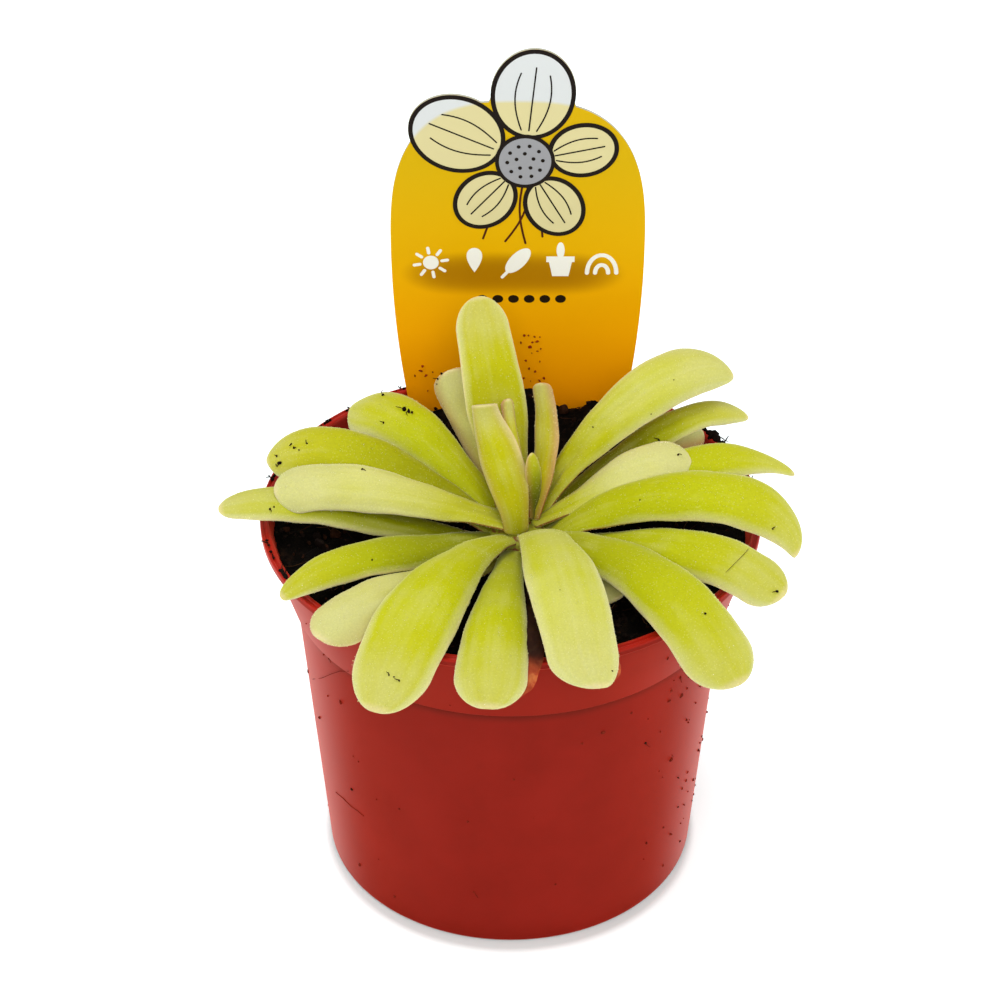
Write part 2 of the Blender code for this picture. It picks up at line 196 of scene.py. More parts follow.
cameraView = dict(place=(-1.9, -440, 385), tilt=54.85, lens=108, sensor=36, pixels=1000)
cameraData = bpy.data.cameras.new("camera")
cameraData.lens = cameraView["lens"]
cameraData.sensor_width = cameraView["sensor"]
cameraData.clip_start = 0.01
camera = addObject("camera", cameraData)
camera.location = Vector(cameraView["place"]) * mm
camera.rotation_euler = Euler((math.radians(cameraView["tilt"]), 0, 0))
bpy.context.scene.camera = camera


# Studio: a white sweep in a white tent. The tent is dark low down on the camera's side, as in front of a
# camera, so that glossy plastic keeps its colour there and pales towards both sides. Sizes in m, powers in W.
# The floor glows like a light table beyond glowEdge, and less within it: a painted shadow round the
# pot's foot, centred a little towards the camera at glowCentre. The tent's light goes from lowFront to
# lowBack over backward, and the lights are (place, size, power)

studio = dict(floorSize=4.0, floorDrop=0.0001, floorColour="#F3FFFF", floorGlow=0.4,
              glowCentre=(0, -0.002, 0), glowEdge=(0.0339, 0.0361), top=0.48, side=0.5, lowBack=1.1,
              lowFront=0.0, backward=(0.15, 0.85), horizon=(-0.12, 0.02), aim=(0, 0, 0.07),
              lights=dict(softBoxAbove=((-0.1, 0.05, 0.9), 0.45, 3.4),
                          softBoxFront=((0.02, -0.8, 0.78), 0.6, 4.6),
                          softBoxLeft=((-0.9, -0.15, 0.15), 0.6, 2.9),
                          softBoxRight=((0.9, -0.15, 0.15), 0.6, 3.3)))


def buildStudio():
    s, scene = studio, bpy.context.scene
    # Matt paper: white without gloss, faintly cool, so that the shade beside the red pot stays grey. It glows
    # evenly, but for a painted shadow round the pot's foot, where its glow fades out
    paper, tree, sockets = newMaterial("matt white paper", s["floorColour"], 0.9, specular=0.0,
                                       Emission_Color="#FFFFFF")
    place = addNode(tree, "TexCoord", out="Object")
    # painted shadow: the glow is nothing near glowCentre and fades in between the two distances of glowEdge
    away = addNode(tree, "VectorMath", [place, s["glowCentre"]], "Value", operation="DISTANCE")
    addNode(tree, "MapRange", [away, *s["glowEdge"], 0, s["floorGlow"]], 0, sockets["Emission Strength"],
            **smoothly)
    bm = bmesh.new()
    bmesh.ops.create_grid(bm, x_segments=1, y_segments=1, size=s["floorSize"] / 2)
    floor = addObject("floor", meshFrom(bm, "floor"))
    floor.data.materials.append(paper)
    floor.location.z = -s["floorDrop"]
    floor.visible_glossy = False

    scene.world = bpy.data.worlds.new("studio")
    scene.world.use_nodes = True
    tree = scene.world.node_tree
    background = tree.nodes["Background"].inputs
    background["Color"].default_value = (1, 1, 1, 1)
    place = addNode(tree, "TexCoord", out="Generated")
    _, y, z = addNode(tree, "SeparateXYZ", [place]).node.outputs
    above = addNode(tree, "MapRange", [z, 0, 1, s["side"], s["top"]])
    below = addNode(tree, "MapRange", [y, *s["backward"], s["lowFront"], s["lowBack"]], **smoothly)
    horizon = addNode(tree, "MapRange", [z, *s["horizon"]], **smoothly)
    addNode(tree, "Mix", {0: horizon, 2: below, 3: above}, 0, background["Strength"], data_type="FLOAT")

    for name, (place, size, power) in s["lights"].items():
        data = bpy.data.lights.new(name, "AREA")
        data.shape = "SQUARE"
        data.size = size
        data.energy = power
        lamp = addObject(name, data)
        lamp.location = place
        lamp.rotation_euler = (Vector(s["aim"]) - Vector(place)).to_track_quat("-Z", "Y").to_euler()


bpy.context.scene.view_settings.view_transform = "Standard"
buildStudio()
print("studio and camera placed")


# Pot, mm. The profile's corners are (radius, height, rounding), from the middle of the floor up the inside,
# over the grooved lip and down the outside. Inside and outside are (height, radius), for what lies on them

pot = dict(height=73.3, collarBottom=57.8, drainHoles=6, drainRadius=3.2, drainRing=23.0, steps=160,
           profile=[(0, 1.8, 0), (33.3, 1.8, 0.8), (38.2, 57.2, 0.3), (38.8, 58.2, 0.3), (42.8, 71.1, 0.5),
                    (43.4, 73.3, 0.3), (44, 73.3, 0.05), (44.15, 73.05, 0.05), (44.45, 73.05, 0.05),
                    (44.6, 73.3, 0.05), (45, 73.3, 0.35), (44.95, 71.8, 0.3), (44.05, 71.2, 0.3),
                    (39.95, 57.8, 0.15), (39.15, 57.7, 0.12), (34.6, 1.2, 0), (34.5, 0, 0.7), (0, 0, 0)],
           inside=[(1.8, 32.5), (2.7, 33.3), (57.2, 38.2), (58.2, 38.8), (70.1, 42.6), (72.6, 43.2),
                   (73.3, 43.8)],
           outside=[(1.2, 34.6), (57.7, 39.15), (57.8, 39.95), (71.2, 44.05), (71.8, 45), (73.3, 45)])


def mouldedPolypropylene():
    # Polypropylene, injection moulded and satin: deep red, with a soft sheen that pales towards the sides
    material, tree, sockets = newMaterial("injection moulded polypropylene", "#8A140A", 0.3, 1.49, 0.28,
                                          Specular_Tint="#FFCCB0", Sheen_Weight=0.6, Sheen_Roughness=0.5,
                                          Sheen_Tint="#FF5A40")
    place = addNode(tree, "TexCoord", out="Object")
    height = addNode(tree, "SeparateXYZ", [place], 2)
    flow = addNode(tree, "TexNoise", {"Vector": place, "Scale": 1 / (12 * mm), "Detail": 5.0,
                                      "Roughness": 0.65})
    colour = addNode(tree, "ValToRGB", [flow], stops=[(0.3, "#740B04"), (0.7, "#820E06")])
    # brighter where light comes through the thin lip
    top, edge = pot["height"] * mm, pot["collarBottom"] * mm
    lip = addNode(tree, "MapRange", [height, top - 0.8 * mm, top - 0.4 * mm], **smoothly)
    # painted shade: a soft dark band on the wall under the collar's edge, where the collar shades it
    dustAndPaintedShade = addNode(tree, "MapRange", [height, edge - 2.8 * mm, edge - 0.1 * mm, 0, 0.7], **smoothly)
    below = addNode(tree, "Math", [height, edge - 0.05 * mm], operation="LESS_THAN")
    dustAndPaintedShade = addNode(tree, "Math", [dustAndPaintedShade, below], operation="MULTIPLY")
    colour = addNode(tree, "Mix", {0: lip, 6: colour, 7: linear("#9C140A")}, 2, **inColour)
    addNode(tree, "Mix", {0: dustAndPaintedShade, 6: colour, 7: linear("#3C0C06")}, 2, sockets["Base Color"], **inColour)
    addNode(tree, "MapRange", [flow, 0, 1, 0.27, 0.36], 0, sockets["Roughness"])
    ripple = addNode(tree, "TexNoise", {"Vector": place, "Scale": 1 / (0.6 * mm), "Detail": 2.0})
    addNode(tree, "Bump", {"Height": ripple, "Strength": 0.12, "Distance": 0.02 * mm}, 0, sockets["Normal"])
    return material


# The pot's inside or outside radius at a height, mm
def potRadius(side, height):
    heights, radii = zip(*pot[side])
    return float(np.interp(height, heights, radii))


def buildPot():
    corners = roundCorners(pot["profile"])
    mesh = bpy.data.meshes.new("pot_turned")
    mesh.from_pydata([(corner.x * mm, 0, corner.y * mm) for corner in corners],
                     [(i, i + 1) for i in range(len(corners) - 1)], [])
    blank = addObject("pot_turned", mesh)
    screw = blank.modifiers.new("turn", "SCREW")
    screw.axis = "Z"
    screw.steps = screw.render_steps = pot["steps"]
    screw.use_merge_vertices = True
    screw.merge_threshold = 0.00001
    screw.use_smooth_shade = True
    bm = bmesh.new()
    for i in range(pot["drainHoles"]):
        made = bmesh.ops.create_cone(bm, cap_ends=True, segments=40, radius1=pot["drainRadius"] * mm,
                                     radius2=pot["drainRadius"] * mm, depth=8 * mm)
        x, y = polar(pot["drainRing"] * mm, 2 * math.pi * i / pot["drainHoles"])
        bmesh.ops.translate(bm, verts=made["verts"], vec=(x, y, 0))
    drill = addObject("drain_holes", meshFrom(bm, "drain_holes"))
    cut = blank.modifiers.new("drain", "BOOLEAN")
    cut.object = drill
    bpy.context.view_layer.update()
    finished = bpy.data.meshes.new_from_object(blank.evaluated_get(bpy.context.evaluated_depsgraph_get()))
    for used in (blank, drill):
        bpy.data.objects.remove(used)
    finished.materials.clear()
    finished.materials.append(mouldedPolypropylene())
    finished.shade_smooth()
    finished.set_sharp_from_angle(angle=math.radians(50))
    keepPiece(addObject("nursery_pot", finished), ["pot"])
    return BVHTree.FromPolygons([vert.co / mm for vert in finished.vertices],
                                [face.vertices for face in finished.polygons])


potSkin = buildPot()
print("pot turned")


# Peat, mm. Its level falls from the edge to the middle, with a mound and heaps (x, y, height, radius), and is
# rough by (height, size)

peat = dict(edge=70.2, middle=64.2, mound=1.9, crown=(1.0, -3.0), grid=190, clearance=0.4, sides=(57.0, 2.1),
            crumbs=1500, clods=150, fibres=420, rough=[(0.75, 5), (0.5, 2.3), (0.3, 1.1), (0.18, 0.55)],
            heaps=[(3.6, 33.2, 4.6, 3.4), (-3, 34, 2.5, 5), (15.5, 34.2, 1.4, 3), (-38, -3, 1.2, 9),
                   (-35, -16, 0.8, 7)])


def moistPeat():
    # Moist sphagnum peat: almost black where it is wet and deep, brown where crumbs stand up and dry
    material, tree, sockets = newMaterial("moist sphagnum peat", "#120C08", 0.95, specular=0.06)
    place = addNode(tree, "TexCoord", out="Object")
    clumps = addNode(tree, "TexNoise", {"Vector": place, "Scale": 1 / (3.0 * mm), "Detail": 6.0,
                                        "Roughness": 0.7})
    addNode(tree, "ValToRGB", [clumps], 0, sockets["Base Color"],
            [(0.3, "#030201"), (0.55, "#080503"), (0.78, "#22140B")])
    grain = addNode(tree, "TexNoise", {"Vector": place, "Scale": 1 / (0.7 * mm), "Detail": 5.0})
    addNode(tree, "Bump", {"Height": grain, "Strength": 0.8, "Distance": 0.35 * mm}, 0, sockets["Normal"])
    return material


def driedPeatFibre(name, colour):
    # Sedge and root fibre from the peat: thin, dull and red-brown
    material, tree, sockets = newMaterial(name, colour, 0.85, specular=0.08)
    place = addNode(tree, "TexCoord", out="Object")
    tone = addNode(tree, "TexNoise", {"Vector": place, "Scale": 1 / (1.5 * mm), "Detail": 2.0})
    addNode(tree, "Mix", {0: tone, 6: linear("#120906"), 7: linear(colour)}, 2, sockets["Base Color"],
            **inColour)
    return material


# The CAD peat's height, mm
def peatHeight(x, y):
    radius = math.hypot(x - peat["crown"][0], y - peat["crown"][1])
    level = peat["middle"] + (peat["edge"] - peat["middle"]) * float(smoothStep((radius - 5) / 36)) ** 0.8
    mound = peat["mound"] * math.exp(-((y - 37) / 7) ** 2 - ((x - 1) / 24) ** 2)
    bumps = 0.35 * math.sin(0.55 * x + 1.3) * math.sin(0.48 * y + 0.4) + 0.22 * math.sin(1.1 * x - 0.8 * y)
    return level + mound + bumps


# That height with its heaps, clods and hollows, mm
def peatTop(x, y):
    heaped = sum(h * math.exp(-((x - cx) ** 2 + (y - cy) ** 2) / r ** 2) for cx, cy, h, r in peat["heaps"])
    here = Vector((x, y, 3.0))
    rough = sum(height * noise.noise(here / size) for height, size in peat["rough"])
    return peatHeight(x, y) - 0.15 + heaped + rough


# An angular crumb: an icosphere with its corners pushed in and out
def crumb(rng, centre, size, detail=1):
    bm = bmesh.new()
    bmesh.ops.create_icosphere(bm, subdivisions=detail, radius=1.0)
    stretch = Vector((rng.uniform(0.7, 1.3), rng.uniform(0.6, 1.1), rng.uniform(0.45, 0.8))) * size / 2
    turn = Euler((rng.uniform(0, 6.3), rng.uniform(0, 6.3), rng.uniform(0, 6.3))).to_matrix()
    points = [tuple(Vector(centre) + turn @ (vert.co * rng.uniform(0.75, 1.2) * stretch))
              for vert in bm.verts]
    faces = [[vert.index for vert in face.verts] for face in bm.faces]
    bm.free()
    return points, faces


# A curved rootlet from start, mm, that tapers to both ends
def fibre(rng, start, length, thick, heading, rise, bends=1.0):
    steps = max(4, int(length / 0.8))
    place, path = Vector(start), []
    slope = math.radians(rise)
    for k in range(steps + 1):
        path.append(tuple(place))
        heading += rng.uniform(-0.45, 0.45) * bends
        slope += rng.uniform(-0.25, 0.22) * bends
        place = place + Vector((*polar(math.cos(slope), heading), math.sin(slope))) * length / steps
    taper = thick / 2 * (0.35 + 0.65 * np.sin(np.linspace(0.15, math.pi - 0.15, steps + 1)))
    return tube(path, taper, 3)


def buildPeat():
    bm = bmesh.new()
    bmesh.ops.create_grid(bm, x_segments=peat["grid"], y_segments=peat["grid"], size=1.0)
    for vert in bm.verts:
        u, v = vert.co.x, vert.co.y
        flat = Vector((u * math.sqrt(1 - v * v / 2), v * math.sqrt(1 - u * u / 2)))
        height = peatTop(*(flat * potRadius("inside", peat["edge"])))
        x, y = flat * (potRadius("inside", height) - peat["clearance"])
        vert.co = Vector((x, y, height)) * mm
    rim = [edge for edge in bm.edges if edge.is_boundary]
    for z in peat["sides"]:
        made = bmesh.ops.extrude_edge_only(bm, edges=rim)["geom"]
        for vert in [g for g in made if isinstance(g, bmesh.types.BMVert)]:
            outward = Vector((vert.co.x, vert.co.y, 0)).normalized()
            vert.co = (outward * (potRadius("inside", z) - peat["clearance"]) + Vector((0, 0, z))) * mm
        rim = [g for g in made if isinstance(g, bmesh.types.BMEdge)]
    bmesh.ops.contextual_create(bm, geom=rim)
    bmesh.ops.recalc_face_normals(bm, faces=bm.faces)
    piece = addObject("peat_bed", meshFrom(bm, "peat_bed"))
    piece.data.materials.append(moistPeat())
    piece.data.shade_smooth()
    keepPiece(piece, ["soil"])

    rng = random.Random(11)
    shapes = []
    reach = potRadius("inside", peat["edge"]) - 1.2
    for i in range(peat["crumbs"] + peat["clods"]):
        big = i >= peat["crumbs"]
        angle, radius = rng.uniform(0, 2 * math.pi), reach * math.sqrt(rng.uniform(0.02, 1))
        x, y = polar(radius, angle)
        size = rng.uniform(1.4, 2.6) if big else rng.uniform(0.5, 1.3)
        shape = crumb(rng, (x, y, peatTop(x, y) + size * 0.12), size, 2 if big else 1)
        shapes.append((*shape, 0 if rng.random() < 0.7 else 1))
    for i in range(peat["fibres"]):
        angle, radius = rng.uniform(0, 2 * math.pi), (reach - 3) * math.sqrt(rng.uniform(0.02, 1))
        x, y = polar(radius, angle)
        shape = fibre(rng, (x, y, peatTop(x, y) + 0.1), rng.uniform(2, 6.5), rng.uniform(0.1, 0.26),
                      rng.uniform(0, 6.3), rng.uniform(-8, 14))
        shapes.append((*shape, 1 if rng.random() < 0.6 else 2))
    addPiece("peat_crumbs", shapes, [crumbPeat, fibrePeat, rootPeat], smooth=False)


crumbPeat = driedPeatFibre("crumbled sphagnum peat", "#150C07")
fibrePeat = driedPeatFibre("peat fibre", "#3A1E0D")
rootPeat = driedPeatFibre("dry rootlet", "#6A4A2C")
buildPeat()
print("peat bedded")


# Plant label, mm and degrees, upright at y. Its upper half is an oval of the given squareness, and the petals
# at overhang stand over its edge. The yellow changes between the heights of ink, and the band is the printed
# shade's left, right, low and high edge. The stems are (spread, bend, drop)

label = dict(y=36.0, thick=0.6, cardX=1.35, cardZ=107.0, halfWidth=23.25, up=29.5, down=36.5, square=2.8,
             taper=0.1, taperBy=31.5, spikeHalf=4.5, spikeBottom=56.0, points=260, ink=(72, 137),
             band=(-19.5, 20.5, 96.5, 105.5), layer=0.015, flowerX=2.6, flowerZ=124.5, petalReach=22.3,
             petalHalf=7.6, petalLength=8.92, overhang=(84, 156), petals=(84, 156, 228, 300, 12),
             smallPetal=0.72, stems=[(-7.5, -2.2, 16.0), (-3.6, 1.4, 16.6), (0.2, -1.0, 17.0),
                                     (3.2, 1.2, 15.6)],
             signZ=103.4, signX=(-14.6, -6.6, 1.4, 9.2, 16.8), dots=6, dotX=-5.2, dotZ=95.6, dotSpacing=2.9)


def printedPolystyrene():
    # Polystyrene card, offset printed and varnished: flat strong yellow that deepens to orange at the foot.
    # The foot is also made brighter, painted light against the shade that the leaves cast there
    material, tree, sockets = newMaterial("offset printed polystyrene", "#E2AC02", 0.35, 1.59, 0.08)
    place = addNode(tree, "TexCoord", out="Object")
    x, y, z = addNode(tree, "SeparateXYZ", [place]).node.outputs
    height = addNode(tree, "MapRange", [z, label["ink"][0] * mm, label["ink"][1] * mm])
    # printed yellow to orange by height, and partly painted light: brighter at the foot, which the leaves
    # shade
    ink = addNode(tree, "ValToRGB", [height],
                  stops=[(0.0, "#FF9C00"), (0.25, "#FAAA00"), (0.5, "#E3AA00"), (0.8, "#D0A700")])
    # the soft brown shade printed under the row of signs, only on the front
    left, right, low, high = (edge * mm for edge in label["band"])
    across = addNode(tree, "MapRange", [x, left, right, -1, 1], clamp=False)
    upward = addNode(tree, "MapRange", [z, low, high, -1, 1], clamp=False)
    across = addNode(tree, "Math", [across, 4.0], operation="POWER")
    upward = addNode(tree, "Math", [upward, 2.0], operation="POWER")
    away = addNode(tree, "Math", [across, upward], operation="ADD")
    shade = addNode(tree, "MapRange", [away, 0, 1.3, 0.65, 0], **smoothly)
    front = addNode(tree, "Math", [y, (label["y"] - 0.1) * mm], operation="LESS_THAN")
    shade = addNode(tree, "Math", [shade, front], operation="MULTIPLY")
    addNode(tree, "Mix", {0: shade, 6: ink, 7: linear("#7E4400")}, 2, sockets["Base Color"], **inColour)
    varnish = addNode(tree, "TexNoise", {"Vector": place, "Scale": 1 / (0.8 * mm), "Detail": 2.0})
    addNode(tree, "Bump", {"Height": varnish, "Strength": 0.08, "Distance": 0.02 * mm}, 0, sockets["Normal"])
    return material


def printedInk(name, colour):
    # Printing ink under the same varnish: flat colour, faintly uneven where the card shows through
    material, tree, sockets = newMaterial(name, colour, 0.42, specular=0.12)
    place = addNode(tree, "TexCoord", out="Object")
    screen = addNode(tree, "TexNoise", {"Vector": place, "Scale": 1 / (0.5 * mm), "Detail": 1.0})
    thin = addNode(tree, "MapRange", [screen, 0, 1, 0, 0.02])
    addNode(tree, "Mix", {0: thin, 6: linear(colour), 7: linear("#B49A60")}, 2, sockets["Base Color"],
            **inColour)
    return material


def petalInk():
    # White printing ink: cool white where the petals stand over the edge of the card, cream over the yellow
    material, tree, sockets = newMaterial("white printing ink", "#DCDCDE", 0.42, specular=0.12)
    place = addNode(tree, "TexCoord", out="Object")
    x, _, z = addNode(tree, "SeparateXYZ", [place]).node.outputs
    left, right = (label["cardX"] - label["halfWidth"]) * mm, (label["cardX"] + label["halfWidth"]) * mm
    across = addNode(tree, "MapRange", [x, left, right, -1, 1])
    across = addNode(tree, "Math", [across], operation="ABSOLUTE")
    across = addNode(tree, "Math", [across, label["square"]], operation="POWER")
    upward = addNode(tree, "MapRange", [z, label["cardZ"] * mm, (label["cardZ"] + label["up"]) * mm],
                     clamp=False)
    upward = addNode(tree, "Math", [upward, label["square"]], operation="POWER")
    inside = addNode(tree, "Math", [across, upward], operation="ADD")
    over = addNode(tree, "MapRange", [inside, 0.97, 1.03])
    addNode(tree, "Mix", {0: over, 6: linear("#D3C794"), 7: linear("#D0D1D2")}, 2, sockets["Base Color"],
            **inColour)
    return material


# Distance from the card's middle to the edge of its upper half, mm, with the petals that stand over it
def cardReach(angle):
    p = label
    dx, dz = math.cos(angle), math.sin(angle)
    reach = (abs(dx / p["halfWidth"]) ** p["square"] + abs(dz / p["up"]) ** p["square"]) ** (-1 / p["square"])
    for turn in p["overhang"]:
        ax, az = math.cos(math.radians(turn)), math.sin(math.radians(turn))
        px = p["flowerX"] + ax * (p["petalReach"] - p["petalLength"]) - p["cardX"]
        pz = p["flowerZ"] + az * (p["petalReach"] - p["petalLength"]) - p["cardZ"]
        du, dv = (dx * ax + dz * az) / p["petalLength"], (dz * ax - dx * az) / p["petalHalf"]
        cu, cv = -(px * ax + pz * az) / p["petalLength"], -(pz * ax - px * az) / p["petalHalf"]
        a, b, c = du * du + dv * dv, du * cu + dv * cv, cu * cu + cv * cv - 1
        if b * b > a * c:
            reach = max(reach, (-b + math.sqrt(b * b - a * c)) / a)
    return reach


# A flat closed shape upright in the label's plane: outline of (x, z) in mm, between two depths in y
def plate(outline, front, back):
    count = len(outline)
    points = [(x, front, z) for x, z in outline] + [(x, back, z) for x, z in outline]
    area = sum(a[0] * b[1] - b[0] * a[1] for a, b in zip(outline, outline[1:] + outline[:1]))
    ring = list(range(count)) if area > 0 else list(range(count))[::-1]
    faces = [ring, [i + count for i in ring[::-1]]]
    faces += [[b, a, a + count, b + count] for a, b in zip(ring, ring[1:] + ring[:1])]
    return points, faces


def oval(x, z, length, width, turn=0.0, count=64):
    ax, az = math.cos(math.radians(turn)), math.sin(math.radians(turn))
    return [(x + ax * length * math.cos(t) - az * width * math.sin(t), z + az * length * math.cos(t)
             + ax * width * math.sin(t)) for t in np.linspace(0, 2 * math.pi, count, endpoint=False)]


# A printed line of that width along a path of (x, z), with rounded ends
def stroke(path, width):
    path = [Vector(point) for point in path]
    sides = []
    for i in range(len(path)):
        ahead = (path[min(i + 1, len(path) - 1)] - path[max(i - 1, 0)]).normalized()
        sides.append(Vector((-ahead.y, ahead.x)) * width / 2)
    ends = []
    for point, before in ((path[-1], path[-2]), (path[0], path[1])):
        ahead = (point - before).normalized()
        side = Vector((-ahead.y, ahead.x)) * width / 2
        ends.append([point + side * math.cos(t) + ahead * width / 2 * math.sin(t)
                     for t in np.linspace(0.35, math.pi - 0.35, 5)])
    left = [point + side for point, side in zip(path, sides)]
    right = [point - side for point, side in zip(path, sides)]
    return [tuple(point) for point in left + ends[0] + right[::-1] + ends[1]]


def buildLabel():
    p = label
    outline = []
    for angle in np.linspace(0, math.pi, p["points"]):
        outline.append(polar(cardReach(angle), angle, p["cardX"], p["cardZ"]))
    lower = [(p["halfWidth"] * (1 - p["taper"] * (drop / p["taperBy"]) ** 2), p["cardZ"] - drop)
             for drop in np.linspace(1, p["down"], 16)]
    lower += [(p["spikeHalf"], p["cardZ"] - p["down"] - 0.5), (p["spikeHalf"] - 0.8, p["spikeBottom"] + 6)]
    outline += [(p["cardX"] - half, z) for half, z in lower] + [(p["cardX"], p["spikeBottom"])]
    outline += [(p["cardX"] + half, z) for half, z in lower[::-1]]
    front, back = p["y"] - p["thick"] / 2, p["y"] + p["thick"] / 2
    # Polystyrene, die cut: its pale matt core shows along the edge
    core = newMaterial("cut white polystyrene", "#B4B2A0", 0.6, 1.59, 0.2)[0]
    card = addPiece("label_card", [(*plate(outline, front, back), 0)], [printedPolystyrene(), core],
                    ["label"], smooth=False)
    for side in card.data.polygons[2:]:
        side.material_index = 1

    # Each printed shape stands proud of the card by its layer
    def printShape(outline, layer, ink):
        shapes.append((*plate(outline, front - p["layer"] * layer, front + 0.05), ink))

    # The flower. A petal's layer is above that of the petal before it
    shapes = []
    white, dark, grey, stem = 0, 1, 2, 3
    x, z = p["flowerX"], p["flowerZ"]
    for n, turn in enumerate(p["petals"]):
        small, near = (1.0, 1.0) if turn in p["overhang"] else (p["smallPetal"], 0.8)
        length, width = p["petalLength"] * small, p["petalHalf"] * small
        ax, az = math.cos(math.radians(turn)), math.sin(math.radians(turn))
        px, pz = polar((p["petalReach"] - p["petalLength"]) * near, math.radians(turn), x, z)
        printShape(oval(px, pz, length - 0.02, width - 0.02, turn), 3 + n, dark)
        printShape(oval(px, pz, length - 0.85, width - 0.85, turn), 4 + n, white)
        for bend in (-1, 0, 1):
            aside = bend * width * 0.42
            vein = [(px + ax * s * length - az * aside * math.cos(s * 1.4),
                     pz + az * s * length + ax * aside * math.cos(s * 1.4))
                    for s in np.linspace(-0.8, 0.45 + 0.15 * (bend == 0), 12)]
            printShape(stroke(vein, 0.28), 5 + n, dark)
    printShape(oval(x, z, 5.4, 5.4), 11, dark)
    printShape(oval(x, z, 4.7, 4.7), 12, grey)
    for ring, count in ((3.2, 10), (1.6, 5)):
        for i in range(count):
            printShape(oval(*polar(ring, 2 * math.pi * i / count + ring, x, z), 0.36, 0.36, 0, 16), 13, dark)
    for n, (spread, bend, drop) in enumerate(p["stems"]):
        path = [(x + spread * s ** 1.5 + bend * math.sin(s * 3.1), z - 3 - (drop - 3) * s)
                for s in np.linspace(0, 1, 16)]
        printShape(stroke(path, 0.4), 1 + 0.4 * n, stem)
    inks = [printedInk(name + " printing ink", colour)
            for name, colour in (("black", "#1B1416"), ("grey", "#96959A"), ("maroon", "#4C1A08"))]
    addPiece("label_print", shapes, [petalInk(), *inks], smooth=False)

    # A row of plain care signs in white, and a row of black dots below it
    shapes = []
    white, dark, z = 0, 1, p["signZ"]
    sun, drop, leafSign, potSign, arch = p["signX"]
    printShape(oval(sun, z, 1.45, 1.45, 0, 32), 1, white)
    for i in range(8):
        turn = math.radians(45 * i + 10)
        printShape(stroke([polar(r, turn, sun, z) for r in (2.05, 3.1)], 0.62), 1, white)
    printShape([(drop + 1.9 * math.sin(t) * math.sin(t / 2) ** 1.1, z + 0.5 - 2.6 * math.cos(t))
                for t in np.linspace(0, 2 * math.pi, 40, endpoint=False)], 1, white)
    printShape(oval(leafSign, z + 0.4, 3.2, 1.5, 50, 32), 1, white)
    printShape(stroke([(leafSign - 2.9, z - 3.1), (leafSign - 1.0, z - 0.9)], 0.6), 2, white)
    half = [(2.6, 1.3), (2.6, 0.1), (2.1, 0.1), (1.5, -2.9)]
    printShape([(potSign - dx, z + dz) for dx, dz in half]
               + [(potSign + dx, z + dz) for dx, dz in half[::-1]], 1, white)
    printShape(oval(potSign, z + 2.6, 1.7, 0.75, 90, 24), 2, white)
    for ring in (1.2, 2.7):
        path = [(arch + ring * math.cos(t), z - 2.2 + ring * 1.4 * math.sin(t))
                for t in np.linspace(0, math.pi, 16)]
        printShape(stroke(path, 0.8), 1, white)
    for i in range(p["dots"]):
        printShape(oval(p["dotX"] + p["dotSpacing"] * i, p["dotZ"], 1.0, 0.85, 0, 20), 1, dark)
    signInks = [printedInk("white sign ink", "#F1EEE4"), printedInk("dot ink", "#1C0F05")]
    addPiece("label_signs", shapes, signInks, smooth=False)


buildLabel()
print("label printed")
